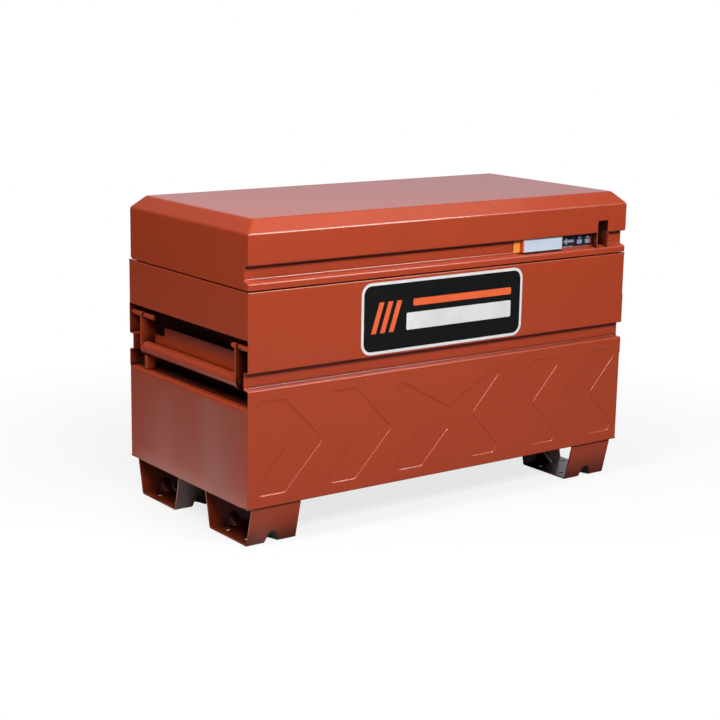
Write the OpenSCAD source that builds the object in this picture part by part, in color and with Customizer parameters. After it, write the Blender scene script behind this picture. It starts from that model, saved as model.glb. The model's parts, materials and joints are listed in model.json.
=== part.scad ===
/* [Overall] */
// Length of the box from end to end
box_w = 1066.8; // [950:0.1:1400]
// Depth of the box from front to back
box_d = 508; // [460:1:700]
// Height from the floor to the top of the lid
box_h = 698.5; // [660:0.5:850]
// Thickness of the steel sheet
sheet = 2; // [1.5:0.1:2.6]

/* [Case] */
// Height of the front panel above the middle channel
upper_h = 171; // [150:1:200]
// Height of the channels across the front and back
channel_h = 36; // [28:1:44]
// Depth of the channels in the case and lid
channel_depth = 16; // [10:1:18]
// Drop of the middle channel's ledge towards the outside
ledge_drop = 1; // [0:0.5:3]
// Width of the flange along the front and the ends of the mouth
rim_w = 26; // [24:1:27]
// Depth of the lip under the front flange
rim_lip = 14; // [13:1:18]
// Width of the flange along the back of the mouth
back_rim_w = 32; // [30:1:34]
// Outside radius of the bend at the top of the lower ends
lip_r = 10; // [6:1:14]
// Width of the flange that carries the floor
floor_flange = 25; // [15:1:35]
// Width of the mouth seal
seal_w = 10; // [7:1:11]

/* [Chevrons] */
// Chevrons in each half of the front panel
chevron_count = 3; // [2:1:3]
// Width of a chevron from its notch to its nose
chevron_w = 94; // [70:1:96]
// Slant of a chevron's arms from the nose to the ends
chevron_lean = 98; // [80:1:110]
// Length of a chevron's flat end
chevron_tail = 63; // [50:1:80]
// Space between a chevron and the edges of the panel
chevron_margin = 26; // [15:1:40]
// Depth that the chevrons are pressed in
chevron_depth = 3; // [1.5:0.5:5]

/* [Feet] */
// Height of the feet
foot_h = 89; // [60:1:110]
// Length of a foot along the box
foot_l = 124; // [110:1:160]
// Width of a foot's base from front to back
foot_base = 152; // [120:1:170]
// Slant of a foot's walls from top to base
foot_lean = 21; // [5:1:26]
// Thickness of a foot's plate
foot_plate = 3; // [2:0.5:5]
// Space from the end of the box to a foot
foot_inset_x = 14; // [5:1:60]
// Space from the front of the box to a foot's base
foot_inset_y = 27; // [27:1:40]
// Distance between the caster bolt holes
caster_pitch = 76.2; // [60:0.1:90]
// Diameter of the caster bolt holes
caster_hole_d = 12; // [8:0.5:14]
// Width of the dents pressed across a foot's bends
foot_dent_w = 28; // [20:1:30]
// Height of the dents in a foot's walls
foot_dent_h = 26; // [22:1:30]

/* [Handles] */
// Height of the pocket for a handle
pocket_h = 145; // [130:1:160]
// Distance from the mouth down to the pocket
pocket_drop = 101; // [80:1:110]
// Depth of the pocket
pocket_depth = 60; // [52:1:70]
// Space from the front of the box to a handle's arm
arm_inset = 49; // [40:1:80]
// Width of a handle's arm
arm_w = 38; // [32:1:44]
// Thickness of a handle's arm
arm_t = 6; // [4:0.5:10]
// Distance from the pocket's top down to the handle pins
pin_drop = 21; // [18:0.5:24]
// Distance from the side of the box to the handle pins
pin_inset = 10.5; // [9.5:0.5:13]
// Diameter of the handle pins
pin_d = 12; // [8:0.5:14]
// Distance from the handle pins down to the grip
grip_drop = 75; // [60:1:85]
// Outside diameter of the grip tube
grip_d = 28; // [22:1:30]
// Wall of the grip tube
grip_wall = 3; // [1.5:0.5:5]

/* [Lid] */
// Height of the lid
lid_h = 140.5; // [135:0.5:170]
// Gap between the mouth and the lid
lid_gap = 6; // [5:0.5:8]
// How far the lid's skirt hangs into that gap
lid_skirt = 3.5; // [2:0.1:4]
// Size of the slant around the top of the lid
lid_chamfer = 27.5; // [15:0.5:40]
// Height of the lid's front face under its channel
lid_foot_h = 11; // [8:1:16]
// Height of the sloping ledge under the lid's channel
lid_ledge_h = 5; // [2:0.5:8]
// Height of the lid's channel
lid_channel_h = 31; // [29:1:36]
// Width of the flange around the bottom of the lid
lid_flange = 24; // [20:1:25]
// Depth of the stiffeners under the lid's top
stiffener_h = 35; // [20:1:45]
// Width of the stiffeners under the lid's top
stiffener_w = 32; // [24:1:40]

/* [Hinge] */
// Outside radius of the hinge barrel
barrel_r = 3.5; // [3:0.1:4.5]
// Radius of the hinge pin
hinge_pin_r = 1.7; // [1.2:0.1:2]
// Barrels along the hinge, counting both leaves
barrel_count = 14; // [10:2:20]
// Rivets along each leaf
rivet_count = 6; // [4:1:9]

/* [Lock] */
// Travel of the sliding lock
lock_travel = 30; // [22:1:32]
// Length of the finger plate
plate_l = 118; // [112:1:122]
// Distance from the right end of the box to the finger plate
plate_inset = 318.4; // [312:0.1:328]
// Width of the padlock slot
slot_w = 32.5; // [28:0.5:36]
// Height of the padlock slot above the bottom of the channel
slot_h = 60; // [50:1:64]
// Distance from the right end of the box to the padlock slot
slot_inset = 92.4; // [88:0.1:95]
// Diameter of the padlock holes
eye_d = 14; // [10:0.5:16]
// Thickness of the lock bar, hooks and staple
lock_plate = 5; // [3:0.5:6]

/* [Gas struts] */
// Distance from the hinge forward to the strut's case pivot
strut_case_y = 140; // [130:1:150]
// Distance from the hinge down to the strut's case pivot
strut_case_z = 180; // [170:1:190]
// Distance from the hinge forward to the strut's lid pivot
strut_lid_y = 90; // [85:1:95]
// Distance from the hinge up to the strut's lid pivot
strut_lid_z = 10; // [5:1:14]
// Radius of the strut's cylinder
strut_r = 9; // [7.5:0.5:9]
// Radius of the strut's rod
rod_r = 4; // [3:0.5:4.5]

/* [Hidden] */
$fn = 48;
over = 1; // overrun of every cut
paint = "#ae4a2e";
dark_paint = "#8c3a26";
zinc = "#c3c9cf";
black = "#202022";

// Heights and half sizes
half_w = box_w / 2;
half_d = box_d / 2;
lid_z = box_h - lid_h;
rim_z = lid_z - lid_gap;
channel_top = rim_z - upper_h;
channel_bot = channel_top - channel_h;
pocket_top = rim_z - pocket_drop;
pocket_bot = pocket_top - pocket_h;
front_y = -half_d;
inner_d = half_d - sheet;
inner_w = half_w - sheet;
channel_back = channel_depth + sheet;
fit_gap = 0.5; // space beside a fixed piece that isn't welded
lip_flat = 6; // flat part of the lower ends' bent edge
slide_gap = 1; // space around the lock's sliding pieces
seat_gap = 0.3; // space between pieces that part when the box opens
pin_play = 0.05; // radial play of a pin in its bore

// Lid profile heights
lid_back = half_d - 2 * barrel_r;
lid_slant_z = box_h - lid_chamfer;
lid_ledge_z = lid_z + lid_foot_h;
lid_channel_bot = lid_ledge_z + lid_ledge_h;
lid_channel_top = lid_channel_bot + lid_channel_h;
lid_mid_z = (lid_channel_bot + lid_channel_top) / 2;
lid_inner_top = box_h - sheet;

// Hinge axis
hinge_y = half_d - barrel_r;
hinge_z = rim_z + barrel_r;
hinge_inset = 33.4;
hinge_half_l = half_w - hinge_inset;
barrel_pitch = 2 * hinge_half_l / barrel_count;
barrel_gap = 0.4;
leaf_t = 1.6;
leaf_relief = 1.2;
case_leaf_w = 14.5;
lid_leaf_h = 30;
rivet_r = 1.6;
rivet_head_r = 3.2;
rivet_head_h = 1.2;
rivet_tail_h = 1;

// Seal
seal_h = lid_gap - seat_gap;
seal_inset = 7;
back_seal_inset = half_d - (hinge_y - case_leaf_w) + fit_gap;

// Decal
decal_l = 456;
decal_h = 158;
decal_x = -20;
decal_r = 26;
decal_t = 0.4;
decal_rise = 84;

// Foot and chevron sizes
foot_flange = 24;
foot_dent_reach = 34;
chevron_cut_x = 12;
chevron_cut_z = 17;
chevron_half_h = (channel_bot - foot_h) / 2 - chevron_margin;
chevron_mid_z = (channel_bot + foot_h) / 2;
chevron_inset = 17.4;
chevron_nose_over = 24; // how far the inmost noses pass the middle
chevron_first_x = half_w - chevron_inset - chevron_cut_x - chevron_tail - chevron_lean + chevron_w;
chevron_last_x = chevron_w - chevron_nose_over;
chevron_pitch = (chevron_first_x - chevron_last_x) / (chevron_count - 1);

// Handle sizes
pin_z = pocket_top - pin_drop;
grip_z = pin_z - grip_drop;
grip_recess = 1;
grip_inset = grip_d / 2 + grip_recess;
arm_out_y = half_d - arm_inset;
arm_in_y = arm_out_y - arm_t;
arm_rim = 5;
arm_end_r = grip_d / 2 + arm_rim;
arm_top = pin_z + pin_inset - fit_gap;
arm_corner_r = 6;
web_t = 3;
web_lift = 4;
web_clear = 24;
web_bot = grip_z - grip_d / 2 + web_lift;
web_top = pin_z - web_clear;
web_notch_w = 45;
web_notch_h = 22;
rear_pin_reach = 42;
front_pin_reach = 21;
stop_w = 20;
stop_t = 12;
stop_inset = 8;
stop_gap = 2.5;

// Lock sizes
plate_x = half_w - plate_inset;
slot_x = half_w - slot_inset;
lip_clearance = 2;
lock_y = front_y + rim_w + lip_clearance;
lock_back_y = lock_y + lock_plate;
bar_h = 20;
bar_reach = 125;
bar_x = plate_x - bar_reach;
hook_w = 18;
hook_x_shares = [0.03, 0.83];
hook_drop = 13.5;
toe_l = 22;
toe_h = 10.5;
keeper_r = 5;
keeper_l = 10;
toe_gap = 0.5;
face_y = front_y + channel_depth;
face_in_y = face_y + sheet;
stud_r = 5;
stud_spread = 38;
stud_inset = 37;
stud_x = plate_x + stud_inset;
plate_stand = 9.5;
plate_front_y = face_y - plate_stand;
plate_t = 1.5;
plate_lip_gap = 2;
eye_depth = 42;
eye_rise = 26;
eye_y = front_y + eye_depth;
eye_z = lid_channel_bot + eye_rise;
eye_rim = 8;
staple_x = slot_x + slot_w / 2 - fit_gap;
tab_x = staple_x - fit_gap - lock_plate - lock_travel;
housing_depth = 64;
housing_back_y = front_y + housing_depth;
guide_w = 20;
guide_t = 3;
guide_inset_shares = [0.2, 0.71];
label_t = 0.4;
label_gap = 4;
label_inset = 8.5;
label_x = plate_x + plate_l + label_gap;
label_end = slot_x - label_inset;
marker_w = 19.5;
marker_t = 1.5;
marker_inset = 25;
marker_x = plate_x - marker_inset;
stop_block_w = 4.7;
stop_block_out = 10;

// Strut sizes
liner_x = half_w - pocket_depth - sheet;
bracket_t = 3;
strut_stand = 13.4;
strut_x = liner_x - bracket_t - strut_stand;
eye_half = 6;
eye_r = 8;
case_pivot = [hinge_y - strut_case_y, hinge_z - strut_case_z];
lid_pivot = [hinge_y - strut_lid_y, hinge_z + strut_lid_z];
strut_run = lid_pivot - case_pivot;
strut_l = norm(strut_run);
strut_lean = atan2(strut_run[0], strut_run[1]);
tube_start = 16;
rod_show = 18;
tube_end = strut_l - rod_show;
tube_wall = 1.5;
tube_cap = 8;
piston_rest = 9;
piston_z = tube_start + piston_rest;
piston_h = 6;
piston_play = 0.2;
stud_l = 4.6;
lid_bracket_x = strut_x + eye_half + stud_l;
lid_bracket_w = 21;
screw_r = 2.5;
screw_head_r = 4.5;
screw_head_h = 1.6;
screw_spread = 16;

// Direction to the right of the step from a to b, one unit long
function right_of(a, b) = let (d = b - a) [d[1], -d[0]] / norm(d);

// Place in a list of n that follows i, back to the start at the end
function next_in(i, n) = (i + 1) % n;

// Shift of a corner between two sides, for a shift of 1 of each side
function corner_shift(m, n) = (m + n) / (1 + m * n);

// A copy of an open path, moved to its right by t
function beside(path, t) = let (last = len(path) - 1) [
  for (i = [0:last])
    let (m = i > 0 ? right_of(path[i - 1], path[i]) : right_of(path[0], path[1]))
    let (n = i < last ? right_of(path[i], path[i + 1]) : m)
    path[i] + t * corner_shift(m, n)
];

// A closed outline grown by t on all sides
function grown(outline, t) = let (count = len(outline)) [
  for (i = [0:count - 1])
    let (before = outline[(i + count - 1) % count])
    let (after = outline[next_in(i, count)])
    outline[i] + t * corner_shift(right_of(before, outline[i]), right_of(outline[i], after))
];

function backwards(path) = [for (i = [len(path) - 1:-1:0]) path[i]];

// Block between two corners
module block(low, high) {
  translate(low) cube(high - low);
}

// Extrudes a drawing of Y and Z along X
module along_x(from, to) {
  translate([from, 0, 0]) rotate([90, 0, 90]) linear_extrude(to - from) children();
}

// Extrudes a drawing of X and Z along Y
module along_y(from, to) {
  translate([0, to, 0]) rotate([90, 0, 0]) linear_extrude(to - from) children();
}

module bar_along_x(r, from, to, y, z) {
  translate([from, y, z]) rotate([0, 90, 0]) cylinder(r = r, h = to - from);
}

module bar_along_y(r, from, to, x, z) {
  translate([x, from, z]) rotate([-90, 0, 0]) cylinder(r = r, h = to - from);
}

module bar_along_z(r, from, to, x, y) {
  translate([x, y, from]) cylinder(r = r, h = to - from);
}

// Section of a bent sheet with its outer face on the path, going left of it by t
module bent_sheet(path, t) {
  polygon(concat(path, backwards(beside(path, -t))));
}

// Case sheets
function case_path(rim, lip) = [
  [rim - half_d, rim_z - lip],
  [rim - half_d, rim_z],
  [front_y, rim_z],
  [front_y, channel_top],
  [front_y + channel_depth, channel_top],
  [front_y + channel_depth, channel_bot + ledge_drop],
  [front_y, channel_bot],
  [front_y, foot_h],
  [front_y + floor_flange, foot_h]
];

// Room for the end panels at the four corners of a front or back panel
module corner_room() {
  for (side = [-1, 1])
    for (span = [[foot_h - over, pocket_bot], [pocket_top, rim_z + over]])
      block(
        [side > 0 ? inner_w : -half_w - over, front_y + sheet, span[0]],
        [side > 0 ? half_w + over : -inner_w, 0, span[1]]
      );
}

function chevron(x) = [
  [x, 0],
  [x + chevron_w - chevron_lean - chevron_tail - chevron_cut_x, chevron_cut_z - chevron_half_h],
  [x + chevron_w - chevron_lean - chevron_tail, -chevron_half_h],
  [x + chevron_w - chevron_lean, -chevron_half_h],
  [x + chevron_w, 0],
  [x + chevron_w - chevron_lean, chevron_half_h],
  [x + chevron_w - chevron_lean - chevron_tail, chevron_half_h],
  [x + chevron_w - chevron_lean - chevron_tail - chevron_cut_x, chevron_half_h - chevron_cut_z]
];

// All the chevrons, grown by t, from one depth behind the front face to another
module chevrons(t, from, to) {
  for (side = [0, 1], i = [0:chevron_count - 1])
    mirror([side, 0, 0])
      translate([0, 0, chevron_mid_z])
        along_y(front_y + from, front_y + to)
          polygon(grown(chevron(i * chevron_pitch - chevron_first_x), t));
}

module front_panel() {
  color(paint)
    difference() {
      union() {
        difference() {
          along_x(-half_w, half_w) bent_sheet(case_path(rim_w, rim_lip), sheet);
          corner_room();
        }
        chevrons(sheet, sheet / 2, sheet + chevron_depth);
      }
      chevrons(0, -over, chevron_depth);
    }
}

module back_panel() {
  color(paint)
    difference() {
      mirror([0, 1, 0])
        difference() {
          along_x(-half_w, half_w) bent_sheet(case_path(back_rim_w, sheet), sheet);
          corner_room();
        }
      case_rivet_row(rivet_r, rim_z - sheet - over, rim_z + over);
    }
}

module left_lower_end() {
  bend_x = lip_r - half_w;
  bend_z = pocket_bot - lip_r;
  color(paint) {
    block([-half_w, -inner_d, foot_h], [-inner_w, inner_d, bend_z]);
    intersection() {
      difference() {
        bar_along_y(lip_r, -inner_d, inner_d, bend_x, bend_z);
        bar_along_y(lip_r - sheet, -half_d, half_d, bend_x, bend_z);
      }
      block([-half_w, -inner_d, bend_z], [bend_x, inner_d, pocket_bot]);
    }
    block([bend_x, -inner_d, pocket_bot - sheet], [bend_x + lip_flat, inner_d, pocket_bot]);
  }
}

module right_lower_end() {
  mirror([1, 0, 0]) left_lower_end();
}

module left_upper_end() {
  color(paint) {
    block([-half_w, -inner_d, pocket_top], [-inner_w, inner_d, rim_z]);
    block([-inner_w, rim_w - half_d, rim_z - sheet], [rim_w - half_w, half_d - back_rim_w, rim_z]);
  }
}

module right_upper_end() {
  mirror([1, 0, 0]) left_upper_end();
}

module left_pocket_liner() {
  back_x = pocket_depth - half_w;
  path = [
    [-inner_w, pocket_top], [back_x, pocket_top],
    [back_x, pocket_bot], [lip_r + lip_flat - half_w, pocket_bot]
  ];
  color(paint)
    difference() {
      along_y(-inner_d, inner_d) bent_sheet(path, sheet);
      for (side = [0, 1])
        mirror([0, side, 0])
          block(
            [-half_w, front_y, channel_bot - sheet - fit_gap],
            [0, front_y + channel_back + fit_gap, channel_top + sheet + fit_gap]
          );
      block(
        [-half_w, front_y, 0],
        [0, front_y + sheet + chevron_depth + fit_gap, chevron_mid_z + chevron_half_h + sheet + fit_gap]
      );
    }
}

module right_pocket_liner() {
  mirror([1, 0, 0]) left_pocket_liner();
}

module floor_panel() {
  color(dark_paint)
    block([-inner_w, -inner_d, foot_h + sheet], [inner_w, inner_d, foot_h + 2 * sheet]);
}

// Feet
foot_out = front_y + foot_inset_y;
foot_in = foot_out + foot_base;
foot_mid_x = half_w - foot_inset_x - foot_l / 2;
foot_mid_y = foot_out + foot_base / 2;

// Round bars along the dents that cross a foot's bends, grown by t
module foot_dents(t) {
  r = foot_dent_w / 2;
  for (way = [-1, 1]) {
    high = [foot_mid_y + way * (foot_base / 2 + foot_lean * foot_dent_h / foot_h), foot_dent_h];
    low = [foot_mid_y + way * (foot_base / 2 - foot_dent_reach), 0];
    run = low - high;
    out = [-run[1], run[0]] * way / norm(run);
    from = high + r * out;
    translate([-foot_mid_x, from[0], from[1]])
      rotate([-atan2(run[0], run[1]), 0, 0])
        translate([0, 0, -foot_dent_w]) cylinder(r = r + t, h = norm(run) + 2 * foot_dent_w);
  }
}

module foot() {
  top = foot_h + sheet;
  path = [
    [foot_out - foot_lean + foot_flange, foot_h],
    [foot_out - foot_lean, foot_h],
    [foot_out, 0],
    [foot_in, 0],
    [foot_in + foot_lean, top],
    [foot_in + foot_lean - foot_flange, top]
  ];
  color(paint)
    difference() {
      union() {
        difference() {
          along_x(-foot_mid_x - foot_l / 2, -foot_mid_x + foot_l / 2) bent_sheet(path, foot_plate);
          foot_dents(0);
        }
        intersection() {
          along_x(-foot_mid_x - foot_l / 2, -foot_mid_x + foot_l / 2) polygon(path);
          difference() {
            foot_dents(foot_plate);
            foot_dents(0);
          }
        }
      }
      for (sx = [-1, 1], sy = [-1, 1])
        bar_along_z(
          caster_hole_d / 2, -over, foot_plate + over,
          sx * caster_pitch / 2 - foot_mid_x, foot_mid_y + sy * caster_pitch / 2
        );
    }
}

module front_left_foot() {
  foot();
}

module front_right_foot() {
  mirror([1, 0, 0]) foot();
}

module rear_left_foot() {
  mirror([0, 1, 0]) foot();
}

module rear_right_foot() {
  mirror([1, 0, 0]) mirror([0, 1, 0]) foot();
}

// Seal, keepers and decal
module mouth_seal() {
  end_x = half_w - seal_inset;
  front_in = front_y + seal_inset + seal_w;
  back_out = half_d - back_seal_inset;
  top = rim_z + seal_h;
  color(black) {
    block([-end_x, front_y + seal_inset, rim_z], [end_x, front_in, top]);
    block([-end_x, back_out - seal_w, rim_z], [end_x, back_out, top]);
    for (side = [0, 1])
      mirror([side, 0, 0])
        block([end_x - seal_w, front_in, rim_z], [end_x, back_out - seal_w, top]);
  }
}

bar_end = tab_x + lock_plate;
bar_l = bar_end - bar_x;

function hook_x(share) = bar_x + share * bar_l;

module lock_keepers() {
  color(zinc)
    for (share = hook_x_shares)
      bar_along_y(
        keeper_r, front_y + rim_w, front_y + rim_w + keeper_l,
        hook_x(share) + hook_w + toe_l / 2 + lock_travel, rim_z - hook_drop + toe_gap + keeper_r
      );
}

module front_decal() {
  mid_z = channel_top + decal_rise;
  x = decal_l / 2 - decal_r;
  z = decal_h / 2 - decal_r;
  color(black)
    translate([decal_x, 0, mid_z]) {
      block([-x - decal_r, front_y - decal_t, -z], [x + decal_r, front_y, z]);
      block([-x, front_y - decal_t, -z - decal_r], [x, front_y, z + decal_r]);
      for (sx = [-1, 1], sz = [-1, 1])
        bar_along_y(decal_r, front_y - decal_t, front_y, sx * x, sz * z);
    }
}

// Handle supports, drawn at the left end
module handle_pins() {
  color(paint)
    for (side = [0, 1])
      mirror([0, side, 0])
        bar_along_y(
          pin_d / 2, arm_in_y - [rear_pin_reach, front_pin_reach][side], inner_d, pin_inset - half_w, pin_z
        );
}

module handle_stop() {
  color(paint)
    block(
      [stop_inset - half_w, arm_in_y - stop_t - fit_gap, pocket_bot],
      [stop_inset + stop_w - half_w, arm_in_y - fit_gap, grip_z - grip_d / 2 - stop_gap]
    );
}

module left_handle_pins() {
  handle_pins();
}

module right_handle_pins() {
  mirror([1, 0, 0]) handle_pins();
}

module left_handle_stop() {
  handle_stop();
}

module right_handle_stop() {
  mirror([1, 0, 0]) handle_stop();
}

// Drop handle, drawn at the left end
module handle_arms() {
  out_x = -half_w;
  color(paint)
    for (side = [0, 1])
      mirror([0, side, 0])
        difference() {
          union() {
            bar_along_y(pin_inset - fit_gap, arm_in_y, arm_out_y, pin_inset - half_w, pin_z);
            block([pin_inset - half_w, arm_in_y, pin_z], [out_x + arm_w, arm_out_y, arm_top]);
            block([out_x + fit_gap, arm_in_y, grip_z], [out_x + arm_w, arm_out_y, pin_z]);
            bar_along_y(arm_end_r, arm_in_y, arm_out_y, out_x + fit_gap + arm_end_r, grip_z);
            block(
              [out_x + fit_gap + arm_end_r, arm_in_y, grip_z - arm_end_r],
              [out_x + arm_w - arm_corner_r, arm_out_y, grip_z]
            );
            block(
              [out_x + arm_w - arm_corner_r, arm_in_y, grip_z - arm_end_r + arm_corner_r],
              [out_x + arm_w, arm_out_y, grip_z]
            );
            bar_along_y(
              arm_corner_r, arm_in_y, arm_out_y,
              out_x + arm_w - arm_corner_r, grip_z - arm_end_r + arm_corner_r
            );
          }
          bar_along_y(
            pin_d / 2 + pin_play, arm_in_y - over, arm_out_y + over, pin_inset - half_w, pin_z
          );
          bar_along_y(grip_d / 2, arm_in_y - over, arm_out_y + over, grip_inset - half_w, grip_z);
        }
}

module handle_web() {
  in_x = arm_w - half_w;
  color(paint)
    difference() {
      block([in_x - web_t, -arm_in_y, web_bot], [in_x, arm_in_y, web_top]);
      for (side = [0, 1])
        mirror([0, side, 0])
          block(
            [in_x - web_t - over, arm_in_y - web_notch_w, web_top - web_notch_h],
            [in_x + over, arm_in_y + over, web_top + over]
          );
    }
}

module handle_grip() {
  color(paint)
    difference() {
      bar_along_y(grip_d / 2, -arm_out_y, arm_out_y, grip_inset - half_w, grip_z);
      bar_along_y(
        grip_d / 2 - grip_wall, -arm_out_y - over, arm_out_y + over, grip_inset - half_w, grip_z
      );
    }
}

module left_handle_arms() {
  handle_arms();
}

module left_handle_web() {
  handle_web();
}

module left_handle_grip() {
  handle_grip();
}

module right_handle_arms() {
  mirror([1, 0, 0]) handle_arms();
}

module right_handle_web() {
  mirror([1, 0, 0]) handle_web();
}

module right_handle_grip() {
  mirror([1, 0, 0]) handle_grip();
}

// Lid sheets
lid_path = [
  [lid_back - lid_flange, lid_z],
  [lid_back, lid_z],
  [lid_back, lid_slant_z],
  [lid_back - lid_chamfer, box_h],
  [front_y + lid_chamfer, box_h],
  [front_y, lid_slant_z],
  [front_y, lid_channel_top],
  [face_y, lid_channel_top],
  [face_y, lid_channel_bot],
  [front_y, lid_ledge_z],
  [front_y, lid_z],
  [front_y + lid_flange, lid_z]
];

// Outline of the lid seen from the front
module lid_end_outline() {
  polygon([
    [-half_w, lid_z], [half_w, lid_z], [half_w, lid_slant_z], [half_w - lid_chamfer, box_h],
    [lid_chamfer - half_w, box_h], [-half_w, lid_slant_z]
  ]);
}

module slot_hole(from, to) {
  block([slot_x, from, lid_channel_bot], [slot_x + slot_w, to, lid_channel_bot + slot_h]);
}

// Cheeks that carry the padlock slot's sides across the channel
module slot_cheeks() {
  sunk = sheet / 2;
  for (x = [slot_x - sheet, slot_x + slot_w])
    along_x(x, x + sheet)
      polygon([
        [front_y, lid_ledge_z - sunk], [face_y, lid_channel_bot - sunk], [face_y + sunk, lid_channel_bot],
        [face_y + sunk, lid_channel_top + sunk], [front_y, lid_channel_top + sunk]
      ]);
}

module lid_shell() {
  slot_from = stud_x - stud_r - slide_gap;
  slot_to = stud_x + stud_spread + stud_r + lock_travel + slide_gap;
  color(paint)
    difference() {
      union() {
        intersection() {
          along_x(-half_w, half_w) bent_sheet(lid_path, sheet);
          along_y(-box_d, box_d) lid_end_outline();
        }
        slot_cheeks();
        block([-half_w, front_y, lid_z - lid_skirt], [half_w, front_y + sheet, lid_z + sheet]);
      }
      slot_hole(front_y - over, face_in_y + over);
      block(
        [slot_from, face_y - over, lid_mid_z - stud_r - slide_gap],
        [slot_to, face_in_y + over, lid_mid_z + stud_r + slide_gap]
      );
      lid_rivet_row(rivet_r, lid_back - sheet - over, lid_back + over);
    }
}

// The room inside the shell that an end piece fills, as a drawing of Y and Z
module lid_inside() {
  polygon(concat(
    beside(lid_path, -sheet),
    [[front_y + lid_flange, lid_z], [lid_back - lid_flange, lid_z]]
  ));
}

module lid_left_end() {
  path = [
    [2 * lid_chamfer - half_w, box_h + lid_chamfer],
    [-half_w, lid_slant_z],
    [-half_w, lid_z],
    [lid_flange - half_w, lid_z]
  ];
  color(paint) {
    intersection() {
      along_y(-box_d, box_d) bent_sheet(path, sheet);
      along_x(-half_w, 0) lid_inside();
    }
    along_x(-half_w, sheet - half_w)
      polygon([
        [front_y + sheet, lid_z - lid_skirt], [lid_back - sheet, lid_z - lid_skirt], [lid_back - sheet, lid_z],
        [lid_back - lid_flange, lid_z], [lid_back - lid_flange, lid_z + sheet],
        [front_y + lid_flange, lid_z + sheet], [front_y + lid_flange, lid_z], [front_y + sheet, lid_z]
      ]);
  }
}

module lid_right_end() {
  mirror([1, 0, 0]) lid_left_end();
}

module stiffener(x) {
  half = stiffener_w / 2;
  path = [
    [-half, lid_inner_top], [-half, lid_inner_top - stiffener_h],
    [half, lid_inner_top - stiffener_h], [half, lid_inner_top]
  ];
  color(dark_paint)
    along_y(front_y + lid_chamfer + sheet, lid_back - lid_chamfer - sheet)
      translate([x, 0]) bent_sheet(path, sheet);
}

stiffener_x = lid_bracket_x + bracket_t + stiffener_w / 2;

module lid_left_stiffener() {
  difference() {
    stiffener(-stiffener_x);
    mirror([1, 0, 0]) bracket_screws(screw_r, lid_bracket_x, lid_bracket_x + bracket_t + sheet + over);
  }
}

module lid_right_stiffener() {
  mirror([1, 0, 0]) lid_left_stiffener();
}

module lid_centre_stiffener() {
  stiffener(0);
}

// Hinge
module barrels(first) {
  for (i = [first:2:barrel_count - 1])
    bar_along_x(
      barrel_r, i * barrel_pitch - hinge_half_l + barrel_gap / 2,
      (i + 1) * barrel_pitch - hinge_half_l - barrel_gap / 2, hinge_y, hinge_z
    );
}

// The steps of a leaf between its own barrels and the other leaf's, from low to high across X
module leaf_steps(first, from, to) {
  for (i = [first:2:barrel_count - 1])
    block(
      [i * barrel_pitch - hinge_half_l + barrel_gap / 2, from[0], from[1]],
      [(i + 1) * barrel_pitch - hinge_half_l - barrel_gap / 2, to[0], to[1]]
    );
}

module hinge_bore() {
  bar_along_x(
    hinge_pin_r + pin_play, -hinge_half_l - over, hinge_half_l + over, hinge_y, hinge_z
  );
}

function rivet_x(i) = ((i + 0.5) * 2 / rivet_count - 1) * hinge_half_l;

module case_rivet_row(r, from, to) {
  for (i = [0:rivet_count - 1])
    bar_along_z(r, from, to, rivet_x(i), hinge_y - case_leaf_w / 2 - barrel_r / 2);
}

module lid_rivet_row(r, from, to) {
  for (i = [0:rivet_count - 1])
    bar_along_y(r, from, to, rivet_x(i), hinge_z + lid_leaf_h / 2 + barrel_r);
}

module hinge_case_leaf() {
  relief = barrel_r + leaf_relief;
  color(zinc)
    difference() {
      union() {
        block(
          [-hinge_half_l, hinge_y - case_leaf_w, rim_z],
          [hinge_half_l, hinge_y - relief, rim_z + leaf_t]
        );
        leaf_steps(0, [hinge_y - relief - over, rim_z], [hinge_y, rim_z + leaf_t]);
        barrels(0);
      }
      hinge_bore();
      case_rivet_row(rivet_r, rim_z - over, rim_z + leaf_t + over);
    }
}

module hinge_lid_leaf() {
  relief = barrel_r + leaf_relief;
  color(zinc)
    difference() {
      union() {
        block(
          [-hinge_half_l, lid_back, hinge_z + relief],
          [hinge_half_l, lid_back + leaf_t, hinge_z + lid_leaf_h]
        );
        leaf_steps(1, [lid_back, hinge_z], [lid_back + leaf_t, hinge_z + relief + over]);
        barrels(1);
      }
      hinge_bore();
      lid_rivet_row(rivet_r, lid_back - over, lid_back + leaf_t + over);
    }
}

module hinge_pin() {
  color(zinc) bar_along_x(hinge_pin_r, -hinge_half_l, hinge_half_l, hinge_y, hinge_z);
}

module hinge_case_rivets() {
  top = rim_z + leaf_t;
  low = rim_z - sheet;
  color(zinc) {
    case_rivet_row(rivet_r, low - rivet_tail_h, top + rivet_head_h);
    case_rivet_row(rivet_head_r, top, top + rivet_head_h);
    case_rivet_row(rivet_head_r, low - rivet_tail_h, low);
  }
}

module hinge_lid_rivets() {
  out = lid_back + leaf_t;
  in = lid_back - sheet;
  color(zinc) {
    lid_rivet_row(rivet_r, in - rivet_tail_h, out + rivet_head_h);
    lid_rivet_row(rivet_head_r, out, out + rivet_head_h);
    lid_rivet_row(rivet_head_r, in - rivet_tail_h, in);
  }
}

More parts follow.
